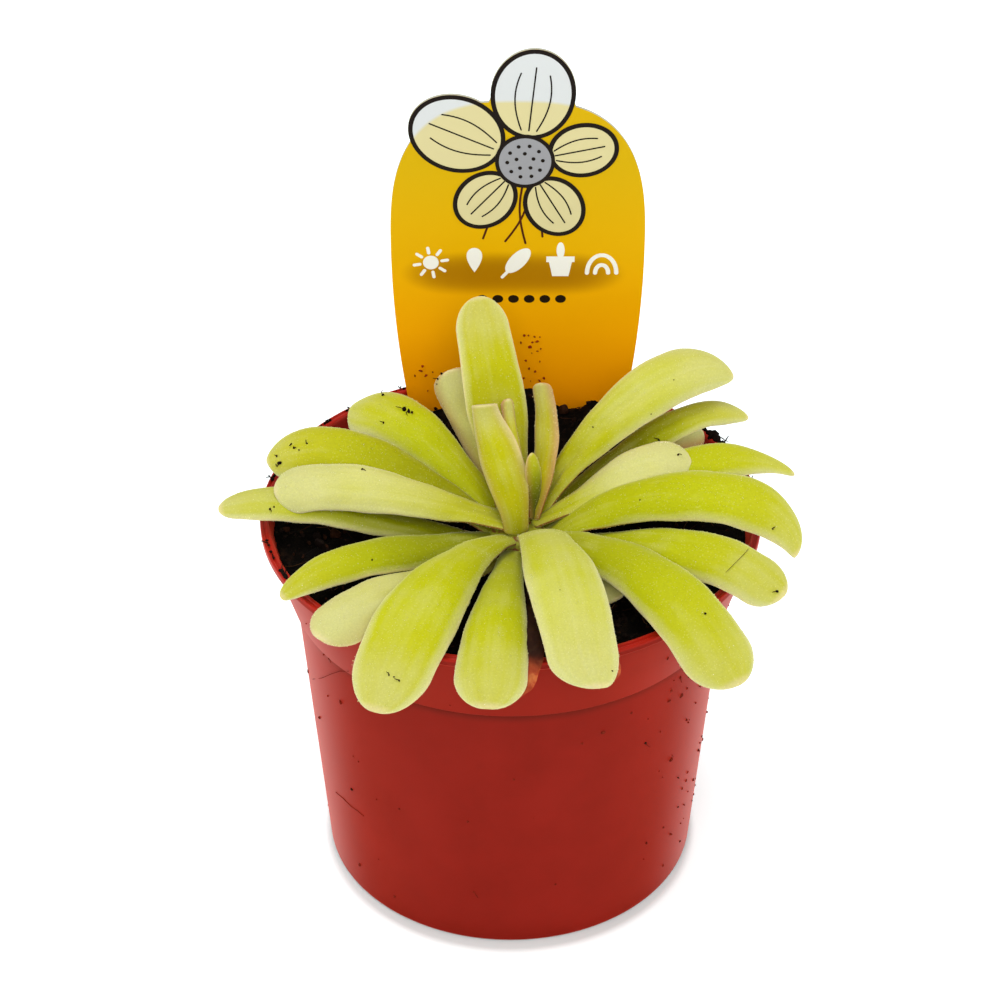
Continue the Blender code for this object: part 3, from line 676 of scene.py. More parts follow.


# Leaves, mm and degrees. Each is measured against the photograph and lies on its CAD leaf, within about 1 mm.
# Path: tip (x, y, z), base (direction and distance from the crown, height), rise and fall (slopes at foot and
#   tip), swing and hook (turns aside there), reach and hang (how far those slopes carry), inward (how far in
#   under its neighbours the foot lies, as a share of its distance)
# Blade: width, neck (width at the foot, times wide), swell (where it is widest), taper (share left at the
#   end), point and blunt (the end's length and fullness), lean (the end to one side), curl (bend across),
#   roll, thick, channel (depth along the middle), lip (how far the margins turn up)
# Looks: pale (towards cream), warm (towards yellow), blush (pink-brown flush), deep (painted shade: olive
# near the heart)

leafBase = dict(swing=0, hook=0, reach=0.4, hang=0.35, inward=0.35, neck=4.2, wide=1.2, swell=0.65, taper=1.0,
                point=1.0, blunt=2.0, lean=0.0, curl=40, roll=0, thick=2.0, channel=0.25, lip=0.0, pale=0.1,
                warm=0.3, blush=0.0, deep=0.0)
leaves = {
    "leaf_back_tall": dict(tip=(-5.8, 22, 104.5), base=(100, 5.3, 72), rise=72, fall=52, inward=0.8,
        width=11.5, neck=5, swell=0.5, taper=0.85, curl=25, channel=0.1, pale=0.02, warm=0.8, deep=0.3),
    "leaf_heart_folded": dict(tip=(-4.9, 5.4, 92.1), base=(-90, 2.6, 71.7), rise=88, fall=66, swing=-20,
        hang=0.3, inward=1, width=8.4, neck=4.4, wide=1, swell=0.6, taper=0.64, point=0.1, blunt=6, curl=15,
        roll=-34, thick=1.6, channel=-0.2, pale=0.05, warm=0.7, blush=0.3),
    "leaf_heart_sliver": dict(tip=(-0.6, 9, 91), base=(62, 2.9, 72.9), rise=80, fall=75, swing=15,
        inward=0.8, width=2.8, neck=2.2, curl=30, thick=1.3, channel=0, warm=1.2, blush=0.9),
    "leaf_heart_right": dict(tip=(5.2, 14.5, 90.8), base=(25, 3.2, 72.4), rise=75, fall=60, swing=-50,
        hook=30, inward=1, width=6, neck=3, swell=0.45, taper=0.85, point=0.8, blunt=4, curl=25, thick=1.3,
        channel=0.1, pale=0.2, warm=1, blush=0.7),
    "leaf_heart_small": dict(tip=(3.5, -0.8, 85.8), base=(18, 4.1, 72.6), rise=80, fall=70, inward=0.8,
        width=4.4, neck=2.4, swell=0.5, point=1.6, curl=25, thick=1.3, channel=0.1, pale=-0.6, warm=-0.6,
        blush=0.5, deep=1),
    "leaf_back_pale": dict(tip=(-11.3, 22.3, 88.5), base=(90, 6.5, 68.6), rise=35, fall=60, swing=-20,
        hook=15, width=8.8, neck=4, blunt=3, roll=-20, pale=0.7, warm=0.9, blush=0.6),
    "leaf_right_raised": dict(tip=(40.2, 21.2, 89.8), base=(47, 5.6, 71.9), rise=58, fall=-38, swing=6,
        hang=0.3, inward=1, width=11, neck=4.1, point=2, blunt=1.6, lean=-0.4, roll=25, channel=0.85,
        pale=0.38, warm=0.4),
    "leaf_right_back": dict(tip=(43, 19, 81.4), base=(38, 6.3, 70), rise=33, fall=-32, swing=-2, inward=0.8,
        width=6.8, neck=5, taper=0.9, point=2.2, lean=-0.5, roll=15, pale=0.05, warm=0.4, deep=0.8),
    "leaf_right_pale": dict(tip=(32.4, 3.4, 81.1), base=(11, 5.9, 71.5), rise=30, fall=-6, inward=0.5,
        width=10.6, neck=2.6, wide=1, swell=0.75, curl=20, roll=28, lip=0.35, pale=0.9, blush=0.1),
    "leaf_right_low": dict(tip=(51.2, 8.6, 76.3), base=(16, 6.3, 66.7), rise=45, fall=-36, reach=0.45,
        hang=0.32, width=9.6, neck=4, taper=0.7, point=2.8, blunt=1.2, lean=-0.6, roll=12, pale=-0.05,
        warm=0.1, deep=0.15),
    "leaf_right_broad": dict(tip=(52.8, -15.2, 77.4), base=(-15, 6.2, 69.2), rise=51, fall=-52, swing=12,
        hook=-15, reach=0.47, hang=0.26, inward=0.9, width=11.8, neck=6, swell=0.5, point=2.5, blunt=1.5,
        lean=-0.95, roll=14, channel=0.15, pale=-0.02, warm=0.1, deep=0.1),
    "leaf_right_front": dict(tip=(47, -28, 74.7), base=(-31, 6.4, 67.4), rise=28, fall=-36, swing=5,
        width=11.4, neck=4, roll=12, pale=0, warm=0.1, deep=0.2),
    "leaf_right_tip": dict(tip=(35.5, 21.5, 75.6), base=(52, 6.4, 66.4), rise=12, fall=-22, swing=6,
        width=8, neck=3.6, pale=0.6, warm=0.6, blush=0.9, deep=0.5),
    "leaf_right_under": dict(tip=(36, -11.5, 72.2), base=(-9, 7.4, 66), rise=10, fall=-12, width=9,
        neck=3.4, warm=-0.5, deep=0.7),
    "leaf_front_right": dict(tip=(38, -48.2, 71.2), base=(-54, 6.2, 68.8), rise=37, fall=-40, swing=17,
        hook=-5, reach=0.42, width=14, neck=6, swell=0.78, channel=0.1, pale=-0.06, warm=0.1, deep=0.2),
    "leaf_front_under": dict(tip=(18.5, -25.5, 72), base=(-60, 7, 66.3), rise=13, fall=-20, width=9,
        neck=3.4, pale=0.5),
    "leaf_front_pale": dict(tip=(13, -54, 75), base=(-50, 4.8, 72.4), rise=42, fall=-42, inward=1.15,
        width=14, neck=7.5, wide=1, swell=0.56, taper=0.92, lean=0.35, channel=0, pale=0.38, warm=0.25),
    "leaf_front_middle": dict(tip=(-4, -55, 71.7), base=(-100, 6.4, 68), rise=25, fall=-38, width=13.4,
        wide=1, swell=0.92, channel=0.1, pale=0.02, warm=0.1, deep=0.15),
    "leaf_front_broad": dict(tip=(-22.6, -55.6, 71.5), base=(-112, 5.8, 70), rise=33, fall=-38, swing=-12,
        hook=3, width=15.6, neck=4.4, wide=1, swell=0.68, taper=0.9, point=1.2, channel=0.1, pale=0.04,
        warm=0.2),
    "leaf_left_pale_low": dict(tip=(-32.6, -39.6, 74.4), base=(-130, 6.7, 66.6), rise=14, fall=-24,
        width=11, neck=3.8, roll=-8, pale=0.8, warm=0.6, blush=0.2),
    "leaf_left_front": dict(tip=(-40, -28.4, 75.2), base=(-150, 6, 69.4), rise=20, fall=-22, swing=-3,
        reach=0.35, width=9.4, neck=5, swell=0.5, taper=0.72, point=2.2, lean=0.3, roll=-10, channel=0.2,
        pale=-0.12, warm=0, deep=0.55),
    "leaf_left_pale": dict(tip=(-42, -4, 79.8), base=(-179, 5.2, 71.7), rise=31, fall=-18, swing=2,
        inward=-0.1, width=10.2, neck=4.6, roll=-28, channel=0.4, lip=0.3, pale=0.75, warm=0.4),
    "leaf_left_low": dict(tip=(-52, -4.3, 77.2), base=(-178, 6.3, 67), rise=18, fall=-15, width=9, neck=4,
        point=2, lean=0.3, roll=-8, warm=0.1, deep=0.35),
    "leaf_left_back": dict(tip=(-44, 7.6, 78.4), base=(165, 6, 68.6), rise=46, fall=-45, swing=-9,
        width=11.4, roll=-18, channel=0.6, pale=-0.15, warm=0.45, deep=0.5),
    "leaf_back_spoon": dict(tip=(-29.4, 25.4, 78.2), base=(126, 6, 69.2), rise=40, fall=-42, swing=-3,
        width=13.4, neck=4, swell=0.8, roll=-10, channel=0.15, pale=0, warm=0, deep=0.05),
}
deadLeaves = {
    "withered_leaf_left": dict(tip=(1.2, -49.2, 69.6), base=(-82, 10, 66.1), rise=22, fall=-66, swing=12,
        hook=-35, hang=0.36, inward=1, width=5, neck=2, wide=1, swell=0.85, taper=0.8, point=1.6, curl=12,
        thick=0.9, channel=0),
    "withered_leaf_right": dict(tip=(16, -50, 73), base=(-75, 11, 68), rise=24, fall=-46, inward=1,
        width=6.5, neck=3, wide=1, swell=0.8, curl=12, thick=0.9, channel=0),
}
# Points around and rings along a leaf, its gland hairs and drops in mm and for each square mm, and the dried
# leaves' crumple (depth, size)
leafMesh = dict(around=44, along=84, glandHeight=0.6, glandThick=0.1, dropSize=0.105, glandsPerArea=2.2,
                dewPerArea=0.09, crumple=[(0.5, 3.2), (0.15, 1.2)], crumpleSeed=1795842407)


def leafSkin():
    # Living leaf, grown: soft translucent tissue, yellow-green, paling to cream at the margins and the tip.
    # Its gland hairs give it no gloss but a pale bloom where it turns away from the eye
    material, tree, sockets = newMaterial("living butterwort leaf", "#B0AE10", 0.55, 1.4, 0.12,
                                          Subsurface_Weight=0.25, Subsurface_Scale=1.0,
                                          Subsurface_Radius=(1.6 * mm, 1.3 * mm, 0.25 * mm),
                                          Sheen_Weight=0.25, Sheen_Roughness=0.35, Sheen_Tint="#FFFFE0")
    across, along, top, pale, warm, blush, deep = (
        addNode(tree, "Attribute", out="Fac", attribute_name=mark)
        for mark in ("across", "along", "top", "pale", "warm", "blush", "deep"))
    place = addNode(tree, "TexCoord", out="Object")
    green = addNode(tree, "ValToRGB", [along],
                    stops=[(0.0, "#A0A310"), (0.25, "#A9AE02"), (0.6, "#B4B902"), (1.0, "#B9B722")])
    yellow = addNode(tree, "ValToRGB", [along],
                     stops=[(0.0, "#ACA616"), (0.3, "#B4AC02"), (0.7, "#B9B406"), (1.0, "#BEB43C")])
    colour = addNode(tree, "Mix", {0: warm, 6: green, 7: yellow}, 2, **inColour)
    # painted shade: a deeper olive towards the heart, where the leaves shade each other
    depth = addNode(tree, "MapRange", [along, 0.95, 0.3], **smoothly)
    depth = addNode(tree, "Math", [depth, deep], operation="MULTIPLY")

    # how far the colour has gone to cream: at the margins, the end, in patches, and in faint streaks along
    # the veins, an eighth of the leaf wide
    edge = addNode(tree, "Math", [across], operation="ABSOLUTE")
    margin = addNode(tree, "MapRange", [edge, 0.64, 0.98, 0, 0.75], **smoothly)
    outer = addNode(tree, "MapRange", [along, 0.15, 0.65, 0.15, 1], **smoothly)
    margin = addNode(tree, "Math", [margin, outer], operation="MULTIPLY")
    end = addNode(tree, "MapRange", [along, 0.7, 0.95, 0, 0.36], **smoothly)
    patches = addNode(tree, "TexNoise", {"Vector": place, "Scale": 1 / (7 * mm), "Detail": 2.0})
    patches = addNode(tree, "MapRange", [patches, 0.3, 0.7, -0.12, 0.12])
    grown = addNode(tree, "CombineXYZ", [across, along, pale])
    grown = addNode(tree, "VectorMath", [grown, (4.0, 1.6, 9.0)], operation="MULTIPLY")
    streaks = addNode(tree, "TexNoise", {"Vector": grown, "Scale": 1.0, "Detail": 2.0})
    streaks = addNode(tree, "MapRange", [streaks, 0.3, 0.7, -0.14, 0.14])
    blanch = addNode(tree, "MapRange", [along, 0.2, 0.65, 0.15, 1], **smoothly)
    cream = addNode(tree, "Math", [blanch, pale, patches], operation="MULTIPLY_ADD")
    for share in (margin, end, streaks):
        cream = addNode(tree, "Math", [cream, share], operation="ADD", use_clamp=share is streaks)

    # the very rim is a faintly pink cream, round the tip too
    tip = addNode(tree, "MapRange", [along, 0.972, 0.995], **smoothly)
    brink = addNode(tree, "MapRange", [edge, 0.88, 0.98], **smoothly)
    brink = addNode(tree, "Math", [brink, tip], operation="MAXIMUM")
    for share in (outer, 0.6):
        brink = addNode(tree, "Math", [brink, share], operation="MULTIPLY")
    # a paler, faintly pink underside
    under = addNode(tree, "MapRange", [top, 0.1, -0.5, 0, 0.6])
    # a pink-brown flush on the youngest leaves, and a thin red-brown line along each margin near the heart
    flush = addNode(tree, "MapRange", [edge, 0.3, 1], **smoothly)
    flush = addNode(tree, "Math", [flush, blush], operation="MULTIPLY")
    line = addNode(tree, "MapRange", [edge, 0.955, 0.99], **smoothly)
    near = addNode(tree, "MapRange", [along, 0.45, 0.2, 0, 0.8], **smoothly)
    line = addNode(tree, "Math", [line, near], operation="MULTIPLY")
    for share, hue in ((depth, "#5E6204"), (cream, "#CBC980"), (brink, "#DCCC9C"), (under, "#BFAE6C"),
                       (flush, "#B07C50"), (line, "#8A4020")):
        colour = addNode(tree, "Mix", {0: share, 6: colour, 7: linear(hue)}, 2, **inColour)

    # a fine grain, and a painted shade that darkens the tip a little
    grain = addNode(tree, "TexNoise", {"Vector": place, "Scale": 1 / (0.3 * mm), "Detail": 2.0})
    grain = addNode(tree, "MapRange", [grain, 0.3, 0.7, 0.93, 1.04])
    paintedTipShade = addNode(tree, "MapRange", [along, 0.7, 0.95, 1, 0.92])
    grain = addNode(tree, "Math", [grain, paintedTipShade], operation="MULTIPLY")
    colour = addNode(tree, "VectorMath", {0: colour, "Scale": grain}, operation="SCALE")
    # gland heads, some 0.6 mm apart, pale and raised
    cells = addNode(tree, "TexVoronoi", {"Vector": place, "Scale": 1 / (0.6 * mm)}, "Distance")
    heads = addNode(tree, "MapRange", [cells, 0.3, 0.12, 0, 0.16], **smoothly)
    addNode(tree, "Mix", {0: heads, 6: colour, 7: linear("#E2E09A")}, 2, sockets["Base Color"], **inColour)
    addNode(tree, "Bump", {"Height": cells, "Strength": 0.4, "Distance": 0.06 * mm}, 0, sockets["Normal"],
            invert=True)
    return material


def glandHair():
    # Gland hairs: short clear stalks, which catch the light as a pale fuzz along each edge. They are drawn
    # thicker and wider apart than the real ones, so that they show
    material, tree, sockets = newMaterial("gland hair", "#E6E6A4", 0.4, 1.4, 0.4)
    pale = addNode(tree, "Attribute", out="Fac", attribute_name="pale")
    addNode(tree, "Mix", {0: pale, 6: linear("#E2E29A"), 7: linear("#F0ECC8")}, 2, sockets["Base Color"],
            **inColour)
    return material


def dewDrop():
    # Mucilage: clear sticky drops, with one small white glint each
    return newMaterial("clear mucilage", "#F4F4D8", 0.06, 1.36, 0.8, Coat_Weight=1.0, Coat_Roughness=0.03)[0]


def driedLeafSkin():
    # Dead leaf, dried on the plant: thin, papery and translucent orange-brown, and almost black over its
    # inner part
    material, tree, sockets = newMaterial("dried leaf", "#A85A22", 0.7, 1.45, 0.08, Subsurface_Weight=0.3,
                                          Subsurface_Scale=1.0,
                                          Subsurface_Radius=(1.2 * mm, 0.5 * mm, 0.2 * mm))
    place = addNode(tree, "TexCoord", out="Object")
    crinkle = addNode(tree, "TexNoise", {"Vector": place, "Scale": 1 / (2.2 * mm), "Detail": 4.0,
                                         "Distortion": 0.6})
    colour = addNode(tree, "ValToRGB", [crinkle],
                     stops=[(0.3, "#7A2A14"), (0.5, "#A4482A"), (0.7, "#C47C44")])
    along = addNode(tree, "Attribute", out="Fac", attribute_name="along")
    # almost black over the inner part of its length
    darkInner = addNode(tree, "MapRange", [along, 0.9, 0.8, 0, 0.97], **smoothly)
    addNode(tree, "Mix", {0: darkInner, 6: colour, 7: linear("#1C100A")}, 2, sockets["Base Color"], **inColour)
    addNode(tree, "Bump", {"Height": crinkle, "Strength": 0.7, "Distance": 0.3 * mm}, 0, sockets["Normal"])
    return material


def heading(angle, slope):
    angle, slope = math.radians(angle), math.radians(slope)
    return np.array([*polar(math.cos(slope), angle), math.sin(slope)])


# Share of the length, centre, side and up direction at each ring, and the length in mm
def midrib(leaf, rings):
    angle, distance, height = leaf["base"]
    middle = np.array([*peat["crown"], height])
    foot = middle + distance * heading(angle, 0)
    tip = np.array(leaf["tip"], float)
    straight = math.degrees(math.atan2(tip[1] - foot[1], tip[0] - foot[0]))
    chord = np.linalg.norm(tip - foot)
    near = foot + leaf["reach"] * chord * heading(straight + leaf["swing"], leaf["rise"])
    foot = middle + distance * leaf["inward"] * heading(angle, 0)
    far = tip - leaf["hang"] * chord * heading(straight + leaf["hook"], leaf["fall"])
    u = np.linspace(0, 1, 401)[:, None]
    path = (1 - u) ** 3 * foot + 3 * (1 - u) ** 2 * u * near + 3 * (1 - u) * u ** 2 * far + u ** 3 * tip
    slope = (1 - u) ** 2 * (near - foot) + 2 * (1 - u) * u * (far - near) + u ** 2 * (tip - far)
    along = np.concatenate([[0], np.cumsum(np.linalg.norm(np.diff(path, axis=0), axis=1))])
    length = along[-1]
    t = np.linspace(0, 1, rings + 1)
    share = t - 0.85 * np.sin(2 * math.pi * t) / (2 * math.pi)
    centres, tangents = (np.stack([np.interp(share, along / length, line[:, k]) for k in range(3)], 1)
                         for line in (path, slope))
    tangents /= np.linalg.norm(tangents, axis=1)[:, None]
    side = heading(straight + leaf["swing"] + 90, 0)
    rolls = np.radians(leaf["roll"] * smoothStep(share / 0.8))
    sides, ups = [], []
    for tangent, roll in zip(tangents, rolls):
        side = side - tangent * side.dot(tangent)
        side /= np.linalg.norm(side)
        up = np.cross(tangent, side)
        sides.append(side * math.cos(roll) + up * math.sin(roll))
        ups.append(up * math.cos(roll) - side * math.sin(roll))
    return share, centres, np.array(sides), np.array(ups), length


# Rings of skin points of a leaf, mm, with where each point lies on it
def leafSurface(name, leaf):
    share, centres, sides, ups, length = midrib(leaf, leafMesh["along"])
    neck, swell = min(1.0, leaf["neck"] * leaf["wide"] / leaf["width"]), leaf["swell"]
    body = np.where(share < swell, neck + (1 - neck) * smoothStep(share / swell),
                    1 - (1 - leaf["taper"]) * smoothStep((share - swell) / (1 - swell)))
    end = leaf["point"] * leaf["width"] / 2 / length
    closing = np.sqrt(np.clip(1 - np.clip((share - 1 + end) / end, 0, 1) ** leaf["blunt"], 0, 1))
    foot = np.sqrt(np.clip(1 - np.clip(1 - share * length / 0.9, 0, 1) ** 2, 0, 1))
    halfWidth = leaf["width"] / 2 * body * closing * foot
    halfThick = leaf["thick"] / 2 * (0.8 + 0.2 * smoothStep(share / 0.4)) * np.sqrt(closing * foot)
    halfThick *= 1 - 0.3 * smoothStep((share - 0.6) / 0.4)
    bend = np.maximum(math.radians(leaf["curl"]) * smoothStep(share / 0.35), 1e-3)
    # the point of a leaning tip lies towards one margin
    centres = centres + sides * (leaf["lean"] * leaf["width"] / 2 * body * (1 - closing))[:, None]

    turn = np.linspace(0, 2 * math.pi, leafMesh["around"], endpoint=False)
    across, over = np.cos(turn)[None], np.sin(turn)[None]
    angle = bend[:, None] * across
    radius = halfWidth[:, None] / bend[:, None]
    skin = halfThick[:, None] * over
    window = smoothStep(share / 0.12) * (1 - smoothStep((share - 0.55) / 0.35))
    lift = -leaf["channel"] * np.exp(-(across / 0.3) ** 2) * window[:, None] * np.clip(over, 0, 1)
    lip = leaf["lip"] * smoothStep((np.abs(across) - 0.7) / 0.3)
    lift = lift + lip * (closing * smoothStep(share / 0.3))[:, None]
    # no leaf lies quite flat
    seed = sum(ord(letter) for letter in name)
    wave = 0.16 * np.sin(share * length * 0.45 + seed)[:, None] * across
    wave = wave + 0.10 * np.sin(share * length * 0.9 + 2 * seed)[:, None] * np.cos(2.5 * across)
    lift = lift + wave * (closing * smoothStep(share / 0.2))[:, None]
    sideways = radius * np.sin(angle) + np.sin(angle) * skin
    upward = radius * (np.cos(angle) - 1) + np.cos(angle) * skin + lift
    rings = centres[:, None] + sides[:, None] * sideways[..., None] + ups[:, None] * upward[..., None]
    marks = {mark: np.broadcast_to(values, sideways.shape)
             for mark, values in (("across", across), ("along", share[:, None]), ("top", over))}
    return rings, marks


# Places spread over the upper skin and the margins: points, outward directions and their marks
def surfaceSamples(rings, marks, perArea, rng, lowest=-0.25, facing=1.0):
    a, b, c, d = rings[:-1], np.roll(rings, -1, 1)[:-1], np.roll(rings, -1, 1)[1:], rings[1:]
    normals = np.cross(c - a, d - b)
    areas = np.linalg.norm(normals, axis=2) / 2
    over = (marks["top"][:-1] + np.roll(marks["top"], -1, 1)[:-1]) / 2
    edge = np.abs(marks["across"][:-1])
    areas = areas * (facing + (1 - facing) * smoothStep((edge - 0.6) / 0.35))
    areas = np.where(over > lowest, areas, 0).ravel()
    count = int(areas.sum() * perArea)
    picked = rng.choice(len(areas), count, p=areas / areas.sum())
    s, t = rng.random(count)[:, None], rng.random(count)[:, None]
    a, b, c, d = (corner.reshape(-1, 3)[picked] for corner in (a, b, c, d))
    points = (1 - s) * (1 - t) * a + s * (1 - t) * b + s * t * c + (1 - s) * t * d
    outward = normals.reshape(-1, 3)[picked]
    outward /= np.maximum(np.linalg.norm(outward, axis=1), 1e-9)[:, None]
    return points, -outward, {key: value[:-1].ravel()[picked] for key, value in marks.items()}


# A three-sided stalk with a drop at its end, at each point
def hairShapes(points, outward, rng):
    count = len(points)
    lean = outward + rng.normal(0, 0.22, (count, 3))
    lean /= np.linalg.norm(lean, axis=1)[:, None]
    one = np.cross(lean, [0.3, 0.5, 0.8])
    one /= np.linalg.norm(one, axis=1)[:, None]
    two = np.cross(lean, one)
    height = leafMesh["glandHeight"] * rng.uniform(0.7, 1.15, (count, 1))
    root, end = points - lean * 0.08, points + lean * height
    size = leafMesh["dropSize"] * rng.uniform(0.7, 1.2, (count, 1))
    verts = [root + leafMesh["glandThick"] / 2 * (one * math.cos(t) + two * math.sin(t))
             for t in (0, 2 * math.pi / 3, 4 * math.pi / 3)]
    verts += [end + way * size for way in (lean, -lean, one, two, -one, -two)]
    verts = np.stack(verts, 1).reshape(-1, 3)
    stalk = [[0, 1, 4], [1, 2, 4], [2, 0, 4]]
    drop = [[3, 5, 6], [3, 6, 7], [3, 7, 8], [3, 8, 5], [4, 6, 5], [4, 7, 6], [4, 8, 7], [4, 5, 8]]
    faces = (np.array(stalk + drop)[None] + np.arange(count)[:, None, None] * 9).reshape(-1, 3)
    return verts, faces.tolist()


# Small clear drops that sit on the skin
def dewShapes(points, outward, rng):
    bm = bmesh.new()
    bmesh.ops.create_icosphere(bm, subdivisions=1, radius=1.0)
    ball = np.array([vert.co[:] for vert in bm.verts])
    ballFaces = np.array([[vert.index for vert in face.verts] for face in bm.faces])
    bm.free()
    size = rng.uniform(0.07, 0.14, (len(points), 1, 1))
    verts = (points[:, None] + outward[:, None] * 0.1 + ball[None] * size).reshape(-1, 3)
    faces = (ballFaces[None] + np.arange(len(points))[:, None, None] * len(ball)).reshape(-1, 3)
    return verts, faces.tolist()


def buildLeaf(name, shape, materials):
    leaf = {**leafBase, **shape}
    rings, marks = leafSurface(name, leaf)
    skin = (*loft(rings), 0)
    rng = np.random.default_rng(sum(ord(letter) for letter in name))
    shapes = [skin]
    ends = dict(across=[0, 0], along=[0, 1], top=[0, 0])
    columns = {key: [np.append(value.ravel(), ends[key])] for key, value in marks.items()}
    for number, makeShapes, corners, perArea, limits in (
            (1, hairShapes, 9, "glandsPerArea", dict(facing=0.22)),
            (2, dewShapes, 12, "dewPerArea", dict(lowest=0.2))):
        points, outward, at = surfaceSamples(rings, marks, leafMesh[perArea], rng, **limits)
        shapes.append((*makeShapes(points, outward, rng), number))
        for key in columns:
            columns[key].append(np.repeat(at[key], corners))
    columns = {key: np.concatenate(value) for key, value in columns.items()}
    for key in ("pale", "warm", "blush", "deep"):
        columns[key] = np.full(len(columns["along"]), leaf[key])
    addPiece(name.replace("leaf", "grown_leaf"), shapes, materials, [name], columns)
    return skin


def buildDeadLeaf(name, shape, material):
    rings, marks = leafSurface(name, {**leafBase, **shape})
    for point in rings.reshape(-1, 3):
        here = Vector(point)
        for depth, size in leafMesh["crumple"]:
            point += np.array(noise.noise_vector(here / size)) * depth
    addPiece(name + "_dried", [(*loft(rings), 0)], [material], [name],
             {"along": np.append(marks["along"].ravel(), [0, 1])})


leafMaterials = [leafSkin(), glandHair(), dewDrop()]
leafSkins = [buildLeaf(name, shape, leafMaterials) for name, shape in leaves.items()]
dried = driedLeafSkin()
noise.seed_set(leafMesh["crumpleSeed"])  # so that each run crumples them alike
for name, shape in deadLeaves.items():
    buildDeadLeaf(name, shape, dried)
print("leaves grown:", len(leafSkins))


# Loose peat: crumbs on the leaves (pixel and size in mm), on the lip (x, y and size in mm, and only the
# direction of x, y counts), on the wall and on the label, and hairs that follow the skin behind their pixels

loosePeat = dict(
    onLeaves=[(383, 395.5, 0.8), (404, 410, 1.3), (408.5, 411.5, 1.1), (412, 413, 0.7), (383.6, 423, 0.6),
              (277, 456, 0.6), (280, 463, 1.0), (277, 466, 0.6), (291, 444.5, 0.6), (294, 448, 0.7),
              (299, 450, 0.5), (307, 443.6, 0.6), (270, 509, 0.8), (274, 507, 0.5), (362, 469.5, 0.7),
              (776.7, 591.4, 0.8), (667.6, 646, 0.8), (705, 614, 0.8), (389, 675, 0.6), (394, 677, 0.5),
              (399, 680.6, 0.7), (658.7, 440, 0.9), (678, 455, 0.7), (772.6, 529, 0.6), (593, 427, 0.5),
              (674, 380, 0.4), (651, 414, 0.4), (463, 530, 0.6), (372, 560, 0.4), (560, 590, 0.35),
              (640, 500, 0.4), (442, 374, 0.9), (438, 379, 0.7), (437, 384, 0.5), (612, 671, 0.5)],
    leafHair=[(748, 550), (743, 556), (736, 563), (730, 569), (726, 573)],
    onLip=[(-44.2, 9.7, 1.4), (-44.0, -11, 1.2), (-41.9, -21.5, 1.6), (-43.0, -14.5, 0.8), (-21.5, 40.5, 0.8),
           (-35.1, 28.1, 1.0), (-30.5, 33, 0.8), (37.6, 22.5, 2.6), (36.0, 25.0, 2.2), (39.4, 20.5, 2.0),
           (46.4, 9, 1.5), (43.6, 6.0, 0.9)],
    lipRadius=44.3, wallRight=70, wallRest=34, splashes=26,
    wallHairs=[[(313, 679), (322, 678), (331, 674), (340, 671), (349, 671)],
               [(336, 792), (343, 798), (351, 806), (358, 811), (364, 816)]])


# Where a line through a pixel of the picture meets a skin, mm, and the skin's direction there
def seenAt(skin, pixel):
    spread = cameraView["sensor"] / cameraView["lens"] / cameraView["pixels"]
    middle = cameraView["pixels"] / 2
    aim = Vector(((pixel[0] - middle) * spread, (middle - pixel[1]) * spread, -1))
    aim.rotate(camera.rotation_euler)
    return skin.ray_cast(Vector(cameraView["place"]), aim)[:2]


# A hair through such places, raised off the skin
def hairOn(skin, pixels, raised, radius):
    seen = [seenAt(skin, pixel) for pixel in pixels]
    return tube([point + normal * raised for point, normal in seen if point], radius, 4)


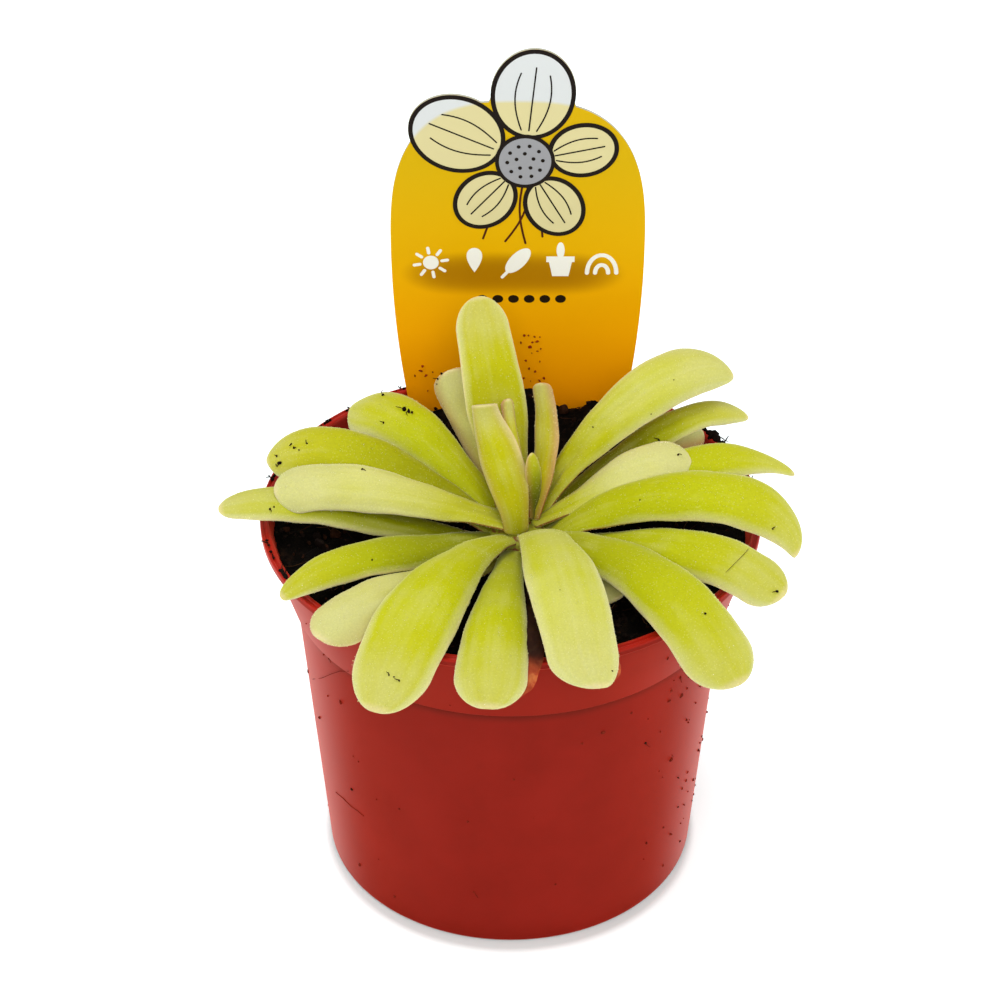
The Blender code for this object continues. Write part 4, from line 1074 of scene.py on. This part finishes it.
def scatterPeat():
    p, rng = loosePeat, random.Random(5)
    points, faces, _ = joinShapes(leafSkins)
    skin = BVHTree.FromPolygons(points.tolist(), faces)
    shapes = []
    for x, y, size in p["onLeaves"]:
        point, normal = seenAt(skin, (x, y))
        if point:
            shapes.append((*crumb(rng, point + normal * size * 0.15, size * 0.85), 0 if size > 0.75 else 1))
        if point and size > 0.5:
            start = point + normal * 0.2
            shapes.append((*fibre(rng, start, size * 1.3, 0.2, rng.uniform(0, 6.3), 15, bends=2.0), 1))
    shapes.append((*hairOn(skin, p["leafHair"], 0.25, 0.045), 2))
    addPiece("crumbs_on_leaves", shapes, [crumbPeat, fibrePeat, rootPeat], smooth=False)

    shapes = []
    for x, y, size in p["onLip"]:
        turn = math.atan2(y, x)
        for i in range(4):
            place = (*polar(p["lipRadius"], turn + rng.uniform(-0.035, 0.035)), pot["height"] + 0.1)
            shapes.append((*crumb(rng, place, size * rng.uniform(0.4, 1.0)), 0))
        for i in range(2):
            start = (*polar(p["lipRadius"], turn), pot["height"] + 0.15)
            shapes.append((*fibre(rng, start, size * rng.uniform(0.8, 1.4), 0.3,
                                  turn + rng.uniform(-1.6, 1.6), rng.uniform(-10, 20), bends=2.0), 1))
    addPiece("crumbs_on_rim", shapes, [crumbPeat, fibrePeat], smooth=False)

    shapes = [(*hairOn(potSkin, hair, 0.06, 0.06), 1) for hair in p["wallHairs"]]
    for i in range(p["wallRight"] + p["wallRest"]):
        right = i < p["wallRight"]
        turn = math.radians(rng.gauss(-24, 13) if right else rng.uniform(-175, -20))
        height = rng.uniform(10, 71) if right else rng.uniform(3, 68)
        size = rng.uniform(0.3, 0.75) if rng.random() < 0.7 else rng.uniform(0.6, 1.1)
        place = (*polar(potRadius("outside", height), turn), height)
        shapes.append((*crumb(rng, place, size), 0 if rng.random() < 0.15 else 1))
        if i % 12 == 0:
            shapes.append((*fibre(rng, place, rng.uniform(1.2, 2.4), 0.16, turn + math.pi / 2, -60,
                                  bends=0.6), 1))
    addPiece("crumbs_on_wall", shapes, [fibrePeat, wallPeat], smooth=False)

    shapes = []
    front = label["y"] - label["thick"] / 2
    for i in range(p["splashes"]):
        if i > p["splashes"] * 0.7:
            x, z = rng.uniform(-18, -14), rng.uniform(75, 81)
        else:
            x, z = rng.gauss(3.9, 1.3), rng.uniform(77, 88)
        shapes.append((*crumb(rng, (x, front - 0.02, z), rng.uniform(0.3, 0.8)), 0))
    addPiece("splashes_on_label", shapes, [splashedPeat], smooth=False)


splashedPeat = driedPeatFibre("dried peat splash", "#B0300A")
wallPeat = driedPeatFibre("peat dust on the wall", "#A0301C")
scatterPeat()
print("loose peat scattered")


# Rootstock, mm: a ribbed stock from its (radius, height) rings

rootstock = dict(profile=[(3.0, 71.6), (4.4, 71.3), (5.1, 70.6), (5.5, 69.4), (5.9, 67.8), (5.9, 66),
                          (5.7, 64), (4.6, 60), (3.2, 56.4)], around=40, ribs=5, ribDepth=0.05)


def rootstockSkin():
    # Rootstock, grown: firm pale tissue, hidden but for chinks between the leaf feet
    material, tree, sockets = newMaterial("rootstock", "#9C8A3A", 0.6, specular=0.3, Subsurface_Weight=0.15,
                                          Subsurface_Scale=1.0,
                                          Subsurface_Radius=(1.0 * mm, 0.7 * mm, 0.2 * mm))
    place = addNode(tree, "TexCoord", out="Object")
    tone = addNode(tree, "TexNoise", {"Vector": place, "Scale": 1 / (1.3 * mm), "Detail": 2.0})
    addNode(tree, "ValToRGB", [tone], 0, sockets["Base Color"],
            [(0.36, "#7A4A1E"), (0.45, "#8E8C1C"), (0.65, "#A2A62A")])
    return material


def buildRootstock():
    rings = []
    for radius, height in rootstock["profile"]:
        turns = -np.linspace(0, 2 * math.pi, rootstock["around"], endpoint=False)
        ribbed = [radius * (1 + rootstock["ribDepth"] * math.sin(rootstock["ribs"] * t + height))
                  for t in turns]
        rings.append([(*polar(r, t, *peat["crown"]), height) for r, t in zip(ribbed, turns)])
    addPiece("grown_rootstock", [(*loft(rings), 0)], [rootstockSkin()], ["crown"])


buildRootstock()
print("rootstock set")
